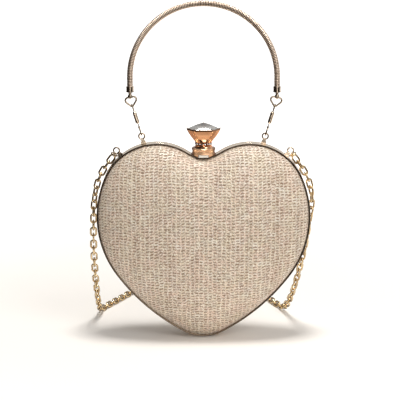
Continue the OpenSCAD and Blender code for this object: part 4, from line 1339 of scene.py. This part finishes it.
@dataclass
class ArchHandle:
    """The ribbed tube of the handle, and the heart rings that hang under its ferrules."""

    arch_r: float = 58
    tube_r: float = 2.5
    groove: float = 0.4
    leg: float = 10.6
    tube_end: float = 199.403
    ribs: int = 162
    sides: int = 20
    ball_z: float = 194.633
    ball_r: float = 1.9
    ring_reach: float = 8.112
    ring_lean: float = 12
    lobe_r: float = 2.3
    lobe_share: float = 0.9
    notch_deg: float = 40
    drop: float = 5.2
    wire_r: float = 0.75
    point_r: float = 1.2
    play: float = 0.05

    def tube(self) -> None:
        """Draws one rib, repeats it along the tube and bends the tube to its arch."""
        length = math.pi * self.arch_r + 2 * self.leg
        pitch = length / self.ribs
        low = self.tube_r - self.groove
        shares = ((0, 0), (0.15, 0.1), (0.8, 0.27), (1, 0.5), (0.8, 0.73), (0.15, 0.9), (0, 1))
        Bench.clear()
        bpy.ops.mesh.primitive_circle_add(vertices=self.sides, radius=low * MM, fill_type="NOTHING")
        piece = Bench.name("handle_ribbed_tube")
        with Bench.editing():
            Bench.draw_up([(low + out * self.groove, run * pitch) for out, run in shares])
        Bench.modify(
            piece, "ARRAY", count=self.ribs, use_relative_offset=False, use_constant_offset=True,
            constant_offset_displace=(0, 0, pitch * MM), use_merge_vertices=True, merge_threshold=MERGE,
        )
        with Bench.editing():
            for end in (0.0, length * MM):
                Bench.pick(piece, lambda co: abs(co.z - end) < MERGE)
                bpy.ops.mesh.edge_face_add()

        def bend(co: Vector) -> Vector:
            """Bends the straight tube to the arch and its two legs.

            Args:
                co: Place on the straight tube, in metres.

            Returns:
                The place on the handle, in metres.
            """
            run, out, back = co.z / MM, -co.x / MM, co.y / MM
            if run < self.leg:
                spot, normal = Vector((-self.arch_r, self.tube_end + run)), Vector((-1, 0))
            elif run > length - self.leg:
                spot, normal = Vector((self.arch_r, self.tube_end + length - run)), Vector((1, 0))
            else:
                normal = polar(1, 180 - math.degrees((run - self.leg) / self.arch_r))
                spot = Vector((0, self.tube_end + self.leg)) + normal * self.arch_r
            spot = spot + normal * out
            return at(spot.x, LUG_Y + back, spot.y)

        crest = piece.data.attributes.new("crest", "FLOAT", "POINT")
        for vertex in piece.data.vertices:
            out = math.hypot(vertex.co.x, vertex.co.y) / MM
            crest.data[vertex.index].value = max(0.0, (out - low) / self.groove)
        Bench.bend_all(piece, bend)
        Bench.heal(piece)
        Bench.smooth(piece, 60)
        finish(piece, RIBBED, "handle_metal", "handle_tube", body=Body.HANDLE)

    def rings(self) -> None:
        """Bends a wire to each small heart, and turns the ball and the neck over it."""
        half = self.lobe_r * self.lobe_share
        notch_r = half / math.sin(math.radians(self.notch_deg)) - self.lobe_r
        notch = (0.0, (self.lobe_r + notch_r) * math.cos(math.radians(self.notch_deg)))
        point = (0.0, self.point_r - self.drop)
        side_deg = math.degrees(math.atan2(-point[1], half)) - math.degrees(
            math.acos((self.point_r - self.lobe_r) / math.hypot(half, point[1]))
        )
        start = Vector((half, 0)) + polar(self.lobe_r, side_deg)
        end = Vector(point) + polar(self.point_r, side_deg)
        arcs = [
            Arc(notch, -notch_r, 90, 90 + self.notch_deg),
            Arc((half, 0.0), self.lobe_r, 90 + self.notch_deg, side_deg),
            Arc((0.0, 0.0), 0, side_deg, side_deg, tuple(end - start)),
            Arc(point, self.point_r, side_deg, -90),
        ]
        wire = [tuple(polar(self.wire_r, 30 * i)) for i in range(12)]
        ring = Bench.swept("heart_wire", wire, arcs, (6, 18, 1, 8))
        home = Matrix.Translation(-at(0, 0, 0))
        lean = Matrix.Rotation(math.radians(self.ring_lean), 4, "Y")
        hang = Matrix.Translation((0, 0, (self.drop - self.ring_reach) * MM))
        middle = Matrix.Translation(at(self.arch_r, LUG_Y, self.ball_z))
        Bench.move(ring, middle @ lean @ hang @ home)
        r = self.ball_r
        shares = ((0.62, 0.86), (0.62, 1.2), (0.78, 1.26), (0.78, 1.42), (0.6, 1.48))
        neck = [tuple(polar(r, degrees)) for degrees in range(-75, 46, 10)]
        neck += [(r * wide, r * high) for wide, high in shares]
        neck += [(r * 0.6, self.tube_end - self.ball_z - self.play)]
        ball = Bench.turned("ring_ball", neck, 32)
        Bench.move(ball, middle)
        right = Bench.join([ring, ball], "heart_ring_wire_right")
        Bench.smooth(right, 50)
        left = Bench.copy(right, "heart_ring_wire_left", Matrix.Diagonal((-1, 1, 1, 1)))
        for piece, side in ((right, Side.RIGHT), (left, Side.LEFT)):
            finish(piece, RING, "handle_metal", f"heart_ring_{side.word}", body=Body.HANDLE)


@dataclass
class Jewel:
    """The jewel on the clasp's lever: a six sided cup, its stone and the beads round its neck."""

    pivot_z: float = 151.988
    ball_r: float = 7.6
    neck_r: float = 6.6
    cup_r: float = 13.5
    cup_h: float = 14.0
    crown_h: float = 4.8
    bead_r: float = 0.9
    deep_share: float = 0.84
    groove_share: float = 0.8
    bead_rise: float = 0.15
    seat_share: float = 0.94
    stone_rise: float = 0.15
    stone_play: float = 0.3
    stone_cut: float = 0.3
    girdle: float = 0.3
    play: float = 0.05
    neck_share: float = 0.42
    # Where the cup starts to be six sided and how far that takes, as shares of its height
    press_at: Pair = (0.285, 0.1)
    round_off: float = 0.12
    bead_gap: float = 0.3
    bead_cut: float = 0.1
    bead_tilt: float = 0.7

    @property
    def neck_z(self) -> float:
        """Gives the height of the neck's foot."""
        return self.pivot_z + self.neck_share * self.ball_r + self.play

    @staticmethod
    def six_sided(degrees: float) -> float:
        """Gives how far a hexagon reaches in a direction, for a corner that reaches 1."""
        return math.cos(math.radians(30)) / math.cos(math.radians(degrees % 60 - 30))

    def cup(self) -> None:
        """Turns the neck and the cup, presses the cup to its hexagon and hollows its seat."""
        groove, seat = self.groove_share, self.seat_share
        neck = (
            (0.94, 0), (1, 0.018), (1, 0.065), (groove, 0.09), (groove, 0.21), (1.04, 0.235), (1.04, 0.268),
        )
        flare = (
            (0.54, 0.30), (0.66, 0.43), (0.76, 0.56), (0.84, 0.67), (0.91, 0.78), (0.98, 0.91), (1, 0.94),
            (1, 0.99), (0.99, 1), (0.945, 1), (seat, 0.99), (seat, 0.93), (0.3, 0.6),
        )
        rings = [(self.neck_r * wide, self.cup_h * high) for wide, high in neck]
        rings += [(self.cup_r * wide, self.cup_h * high) for wide, high in flare]
        piece = Bench.turned("jewel_cup_shell", rings, 48)

        def press(co: Vector) -> Vector:
            """Presses the round cup to a hexagon that is wider than deep, and leaves its neck round.

            Args:
                co: Place on the turned cup, in metres.

            Returns:
                The place on the pressed cup, in metres.
            """
            flat = max(0.0, min(1.0, (co.z / MM / self.cup_h - self.press_at[0]) / self.press_at[1]))
            share = 1 + flat * (self.six_sided(math.degrees(math.atan2(co.y, co.x))) - 1)
            return Vector((co.x * share, co.y * share * (1 - flat * (1 - self.deep_share)), co.z))

        Bench.bend_all(piece, press)
        Bench.move(piece, Matrix.Translation(at(0, 0, self.neck_z)))
        Bench.modify(
            piece, "BEVEL", width=self.round_off * MM, segments=2, limit_method="ANGLE",
            angle_limit=math.radians(28),
        )
        Bench.smooth(piece, 26)
        finish(piece, ROSE_CUP, "rose_metal", "jewel_cup", body=Body.GEM)

    def stone(self) -> None:
        """Sets out the stone's corners ring by ring and draws its facets over them."""
        rim = self.cup_h + self.stone_rise
        r = self.cup_r * self.seat_share - self.stone_play
        crown = self.crown_h
        # Each ring: share of the radius, height over the rim, turn in corners and number of corners
        rows = (
            (0.28, -0.36 * self.cup_h, 0, 6), (1, -0.16 * crown - self.girdle, 0, 12), (1, 0, 0, 12),
            (0.97, 0.05 * crown, 0, 12), (0.80, 0.27 * crown, 0.5, 12), (0.42, 0.66 * crown, 0, 6),
        )
        places = [Vector((0, 0, (rim + crown) * MM))]
        for share, height, turn, corners in rows:
            for i in range(corners):
                degrees = (i + turn) * 360 / corners
                reach = r * share * (1 + (1 - turn) * (self.six_sided(degrees) - 1))
                spot = polar(reach, degrees)
                places.append(Vector((spot.x, spot.y * self.deep_share, rim + height)) * MM)
        Bench.clear()
        bpy.ops.mesh.primitive_cone_add(
            vertices=6, radius1=self.stone_cut * r * MM, radius2=self.stone_cut * MM, depth=crown * MM,
            location=(0, 0, 0),
        )
        piece = Bench.name("jewel_cut_stone")
        with Bench.editing():
            bpy.ops.mesh.delete(type="VERT")
            shape = bmesh.from_edit_mesh(piece.data)
            for place in places:
                shape.verts.new(place)
            bmesh.update_edit_mesh(piece.data)
            bpy.ops.mesh.select_all(action="SELECT")
            bpy.ops.mesh.convex_hull()
        Bench.move(piece, Matrix.Translation(at(0, 0, self.neck_z)))
        Bench.heal(piece)
        finish(piece, CRYSTAL, "stone", "jewel_stone", body=Body.GEM)

    def beads(self) -> None:
        """Cuts one faceted bead and strings copies of it round the neck's groove."""
        ring = self.neck_r * self.groove_share + self.bead_r + self.play
        count = math.floor(2 * math.pi * ring / (2 * self.bead_r + self.bead_gap))
        Bench.clear()
        bpy.ops.mesh.primitive_ico_sphere_add(subdivisions=2, radius=self.bead_r * MM, location=(0, 0, 0))
        bead = Bench.name("bead")
        with Bench.editing():
            bpy.ops.mesh.bevel(offset=self.bead_cut * self.bead_r * MM, segments=1, affect="VERTICES")
        foot = Matrix.Translation(at(0, 0, self.neck_z + self.bead_rise * self.cup_h))
        out = Matrix.Translation((ring * MM, 0, 0))
        beads = []
        for i in range(count):
            turn = Matrix.Rotation(2 * math.pi * i / count, 4, "Z")
            tilt = Matrix.Rotation(self.bead_tilt * i, 4, "X")
            beads.append(Bench.copy(bead, f"bead_{i}", foot @ turn @ out @ tilt))
        bpy.data.objects.remove(bead)
        piece = Bench.join(beads, "neck_bead_string")
        finish(piece, BEAD, "bead_metal", "neck_beads", body=Body.GEM)

    def build(self) -> None:
        """Builds the cup, the stone and the beads."""
        self.cup()
        self.stone()
        self.beads()


@dataclass
class ShoulderChain:
    """The shoulder chain: it hangs from both lugs and lies in folds behind the purse."""

    in_len: float = 6.2
    in_w: float = 2.8
    wire: float = 1.6
    slack: float = 0.2
    lay_z: float = 2.4
    # Heights, as multiples of lay_z, under which a link starts to lie down and lies flat
    lean_from: float = 18
    flat_from: float = 3
    flat_turn: float = 45
    ring: Place = (69.1394, 1.275, 151.25)
    hang: float = 5.45
    hang_deg: float = 240
    curve_steps: int = 8

    @property
    def route(self) -> list[Vector]:
        """Gives the points that the chain follows.

        Returns:
            The points in the purse's drawing, from the left lug to the right one.
        """
        left = (
            (-79.5, 3, 136), (-84.5, 4, 125), (-87.5, 6, 110), (-88.5, 9, 92), (-89, 14, 74), (-89, 21, 56),
            (-88.5, 30, 38), (-88, 41, 22), (-87, 54, 9), (-86, 68, 3),
        )
        lay = (
            (-81, 82), (-73, 100), (-65, 119), (-57, 137), (-49, 156), (-42, 176), (-38, 196), (-36, 212),
            (-32, 222), (-22, 227), (-12, 222), (-8, 212), (-8, 190), (-8, 165), (-8, 140), (-8, 115),
            (-8, 96), (-4, 86), (6, 81), (16, 86), (20, 96), (20, 115), (20, 140), (20, 165), (20, 190),
            (20, 212), (24, 222), (34, 227), (44, 222), (48, 212), (49, 190), (50, 168), (50, 146),
            (52, 124), (56, 107), (61, 90),
        )
        right = (
            (67, 74, 3), (70, 59, 9), (73.5, 44, 22), (76.5, 32, 37), (79.5, 22, 54), (82.5, 15, 72),
            (85, 10, 92), (87, 7, 110), (84.5, 5, 125), (78.5, 4, 137),
        )
        fall = polar(self.hang, self.hang_deg)
        x, y, z = self.ring[0] - fall.x, self.ring[1], self.ring[2] + fall.y
        on_floor = [(*spot, self.lay_z) for spot in lay]
        return [Vector(spot) for spot in ((-x, y, z), *left, *on_floor, *right, (x, y, z))]

    def joints(self) -> list[Vector]:
        """Runs a smooth curve through the route and parts it into equal links.

        Returns:
            The places where the links meet, in the purse's drawing.
        """
        route = self.route
        route = [2 * route[0] - route[1], *route, 2 * route[-1] - route[-2]]
        curve = []
        for p0, p1, p2, p3 in zip(route, route[1:], route[2:], route[3:]):
            for k in range(self.curve_steps):
                t = k / self.curve_steps
                bend = (2 * p0 - 5 * p1 + 4 * p2 - p3) * t * t + (3 * p1 - p0 - 3 * p2 + p3) * t ** 3
                curve.append(0.5 * (2 * p1 + (p2 - p0) * t + bend))
        curve.append(route[-2])
        reach = [0.0]
        for before, after in zip(curve, curve[1:]):
            reach.append(reach[-1] + (after - before).length)
        links = 2 * math.ceil((reach[-1] / (self.in_len - self.slack) - 1) / 2) + 1
        pitch = reach[-1] / links
        found, i = [], 0
        for k in range(links + 1):
            d = min(k * pitch, reach[-1])
            while i < len(reach) - 2 and reach[i + 1] < d:
                i += 1
            found.append(curve[i] + (curve[i + 1] - curve[i]) * ((d - reach[i]) / (reach[i + 1] - reach[i])))
        return found

    def link(self) -> bpy.types.Object:
        """Draws one oval link from a ring whose halves are pulled apart.

        Returns:
            The link, with its long way along X.
        """
        bend = (self.in_w + self.wire) / 2
        pull = (self.in_len - self.in_w) / 2
        Bench.clear()
        bpy.ops.mesh.primitive_torus_add(
            major_segments=14, minor_segments=6, major_radius=bend * MM, minor_radius=self.wire / 2 * MM
        )
        link = Bench.name("chain_link")
        with Bench.editing():
            for sign in (-1, 1):
                Bench.pick(link, lambda co: co.x * sign > MERGE)
                bpy.ops.transform.translate(value=(sign * pull * MM, 0, 0))
        bpy.ops.object.shade_smooth()
        return link

    def turn(self, k: int, z: float) -> float:
        """Tells how far link k turns about the chain at a height, in radians: flatter the lower it is."""
        lying = (self.lean_from * self.lay_z - z) / ((self.lean_from - self.flat_from) * self.lay_z)
        return math.radians(self.flat_turn * max(0.0, min(1.0, lying)) + (k % 2) * 90)

    def build(self) -> None:
        """Strings copies of the link along the route as one chain."""
        joints = self.joints()
        link = self.link()
        links = []
        for k, (a, b) in enumerate(zip(joints, joints[1:])):
            along = (b - a).normalized()
            level = along.cross(Vector((0, 0, 1))).normalized()
            middle = (a + b) / 2
            turn = self.turn(k, middle.z)
            face = math.cos(turn) * level + math.sin(turn) * along.cross(level)
            place = Matrix((along, face.cross(along), face)).transposed().to_4x4()
            place.translation = at(*middle)
            twin = link.copy()
            twin.data = link.data.copy()
            bpy.context.scene.collection.objects.link(twin)
            twin.data.transform(place)
            links.append(twin)
        bpy.data.objects.remove(link)
        chain = Bench.join(links, "shoulder_chain")
        finish(chain, CHAIN_GOLD, "chain_gold", *(f"chain_{i}" for i in range(1, 9)), body=Body.BACK)


class CarriedOver:
    """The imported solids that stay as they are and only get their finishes."""

    PLANS: tuple[tuple[Finish, str], ...] = (
        (STEEL, "clasp_pin clasp_spring clasp_screws hinge_pin hinge_rivets_back hinge_rivets_front"),
        (STEEL, "catch_spring striker_rivets handle_core"),
        (ROSE, "lever_stem"),
        (ROSE_BASE, "clasp_base"),
        (CREAM, "striker_plate"),
        (GOLD_FRAME, "hinge_leaf_back hinge_leaf_front"),
        # Painted light and shade: twin lugs and chain ends wear darker finishes on the shaded side (right handle
        # lug, left chain lug and chain end) and paler ones on the lit side
        (FERRULE, "ferrule_left ferrule_right handle_lug_right chain_lug_left jewel_claws"),
        (RING, "link_wire_left link_wire_right chain_end_left"),
        (CHAMPAGNE, "link_sleeve_left link_sleeve_right handle_lug_left chain_lug_right"),
        (CHAIN_GOLD, "chain_end_right"),
        (PAN, "pan_back pan_front"),
    )

    def build(self) -> None:
        """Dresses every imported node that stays."""
        for look, names in self.PLANS:
            for name in names.split():
                look.dress(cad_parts[name])
                LOG.info("packed node %s wears %s", name, look.label)


@dataclass(frozen=True)
class SoftBox:
    """A square lamp that points at the purse."""

    name: str
    place: Place
    size: float
    power: float
    colour: Colour

    def hang(self, target: Vector) -> None:
        """Hangs the lamp up.

        Args:
            target: The place that it points at.
        """
        data = bpy.data.lights.new(self.name, "AREA")
        data.size, data.energy, data.color = self.size, self.power, self.colour
        lamp = bpy.data.objects.new(self.name, data)
        bpy.context.scene.collection.objects.link(lamp)
        lamp.location = self.place
        lamp.rotation_euler = (target - Vector(self.place)).to_track_quat("-Z", "Y").to_euler()


@dataclass
class Studio:
    """The floor, the lights and the camera."""

    distance: float = 1.45
    elevation: float = 12.0
    aim: Place = (-0.0028, -0.0013, -0.1567)
    lens: float = 163.5
    sensor: float = 36
    sight: float = 20
    lit: Place = (0, 0, -0.17)
    paper: Colour = (0.93, 0.895, 0.85)
    pale_paper: Colour = (0.95, 0.915, 0.875)
    dusk_paper: Colour = (0.07, 0.055, 0.045)
    near_glow: float = 0.02
    far: Pair = (0.12, 1.0)
    front_dusk: Pair = (-0.05, -0.20)
    left_dusk: Pair = (-0.08, -0.30)
    left_wall: Pair = (-0.45, -0.80)
    wall: Pair = (-0.1, 0.3)
    wall_bright: float = 0.64
    wall_light: float = 0.07
    room: Pair = (-0.3, 1.0)
    room_slant: float = 0.8
    room_dark: float = 0.04
    room_bright: float = 0.45
    air: tuple[float, ...] = (1, 0.99, 0.97, 1)
    white: tuple[float, ...] = (1, 1, 1, 1)
    lamps: tuple[SoftBox, ...] = (
        SoftBox("key_box", (0.60, -0.85, 0.75), 0.6, 4.2, (1, 0.985, 0.965)),
        SoftBox("front_box", (0.15, -1.25, -0.06), 0.5, 2.9, (1, 0.98, 0.96)),
        SoftBox("top_box", (0.05, -0.05, 0.95), 0.32, 10.5, (1, 0.99, 0.97)),
    )

    def camera(self) -> None:
        """Sets up the camera at the photograph's angle."""
        data = bpy.data.cameras.new("camera")
        data.lens, data.sensor_width, data.clip_end = self.lens, self.sensor, self.sight
        camera = bpy.data.objects.new("camera", data)
        bpy.context.scene.collection.objects.link(camera)
        rise = math.radians(self.elevation)
        camera.location = Vector(self.aim) + Vector((0, -math.cos(rise), math.sin(rise))) * self.distance
        camera.rotation_euler = (math.radians(90 - self.elevation), 0, 0)
        bpy.context.scene.camera = camera

    def floor(self) -> None:
        """Lays the pale floor, which glows to plain white far from the purse.

        Its glow is only seen by the eye, through the stone and in reflections, and lights nothing.
        Reflections find the floor dark in front of the purse and on its left.
        """
        Bench.clear()
        bpy.ops.mesh.primitive_plane_add(size=30, location=at(0, 0, 0))
        plane = Bench.name("floor")
        Bench.settle(plane)
        made = bpy.data.materials.new("floor_paper")
        w = Wiring.fresh(made)
        spot = w.place()
        path = w.node("ShaderNodeLightPath").outputs
        wide, deep, _ = w.split(spot)
        dim = w.math("MAXIMUM", w.ramp(deep, *self.front_dusk), w.ramp(wide, *self.left_dusk))
        dusk = w.times(dim, path["Is Glossy Ray"])
        pale = w.mix(w.noise(spot, 3, 2, 0.5), self.paper, self.pale_paper)
        paper = w.fed("ShaderNodeBsdfDiffuse", "BSDF", Color=w.mix(dusk, pale, self.dusk_paper))
        reach = w.node("ShaderNodeVectorMath", operation="LENGTH")
        w.join(w.scaled(spot, (1, 1, 0)), reach.inputs[0])
        glare = w.times_add(w.ramp(reach.outputs["Value"], *self.far), 1.0 - self.near_glow, self.near_glow)
        glow = w.fed("ShaderNodeEmission", "Emission", Strength=w.times(glare, w.math("SUBTRACT", 1.0, dusk)))
        none = w.fed("ShaderNodeEmission", "Emission", Strength=0)
        shiny = w.math("MAXIMUM", path["Is Glossy Ray"], path["Is Transmission Ray"])
        both = w.node("ShaderNodeAddShader")
        w.join(paper, both.inputs[0])
        w.join(w.chosen(w.math("MAXIMUM", path["Is Camera Ray"], shiny), none, glow), both.inputs[1])
        w.join(both.outputs[0], w.node("ShaderNodeOutputMaterial").inputs["Surface"])
        plane.data.materials.append(made)

    def world(self) -> None:
        """Sets surroundings that the eye sees white, and that light the purse from behind and the right."""
        world = bpy.data.worlds.new("studio_air")
        bpy.context.scene.world = world
        w = Wiring.fresh(world)
        path = w.node("ShaderNodeLightPath").outputs
        x, y, z = w.split(w.node("ShaderNodeTexCoord").outputs["Generated"])
        behind = w.times(w.ramp(y, *self.wall), self.wall_bright)
        behind = w.times(behind, w.math("SUBTRACT", 1.0, w.ramp(x, *self.left_wall)))
        side = w.ramp(w.times_add(z, self.room_slant, x), *self.room)
        room = w.times_add(side, self.room_bright - self.room_dark, self.room_dark)
        soft = w.times_add(behind, self.wall_light, room)
        gain = w.math("SUBTRACT", w.math("MAXIMUM", room, behind), soft)
        air = w.fed(
            "ShaderNodeBackground", "Background", Color=self.air,
            Strength=w.times_add(path["Is Glossy Ray"], gain, soft),
        )
        white = w.fed("ShaderNodeBackground", "Background", Color=self.white, Strength=1)
        seen = w.math("MAXIMUM", path["Is Camera Ray"], path["Is Transmission Ray"])
        w.join(w.chosen(seen, air, white), w.node("ShaderNodeOutputWorld").inputs["Surface"])

    def build(self) -> None:
        """Builds the camera, the surroundings, the floor and the lights."""
        self.camera()
        self.world()
        self.floor()
        for lamp in self.lamps:
            lamp.hang(Vector(self.lit))
        bpy.context.scene.view_settings.view_transform = "Standard"


def main() -> None:
    """Builds the purse in order: camera and chain first, then the body, the clasp and the handle."""
    logging.basicConfig(level=logging.INFO, format="%(name)s: %(message)s")
    outline, layers = HeartOutline(), Layers()
    Studio().build()
    ShoulderChain().build()
    FrameHalves(outline, layers).build()
    DomedCloth(outline, layers).build()
    Gussets(outline, layers).build()
    handle = ArchHandle()
    handle.tube()
    handle.rings()
    Jewel().build()
    CarriedOver().build()


if __name__ == "__main__":
    main()
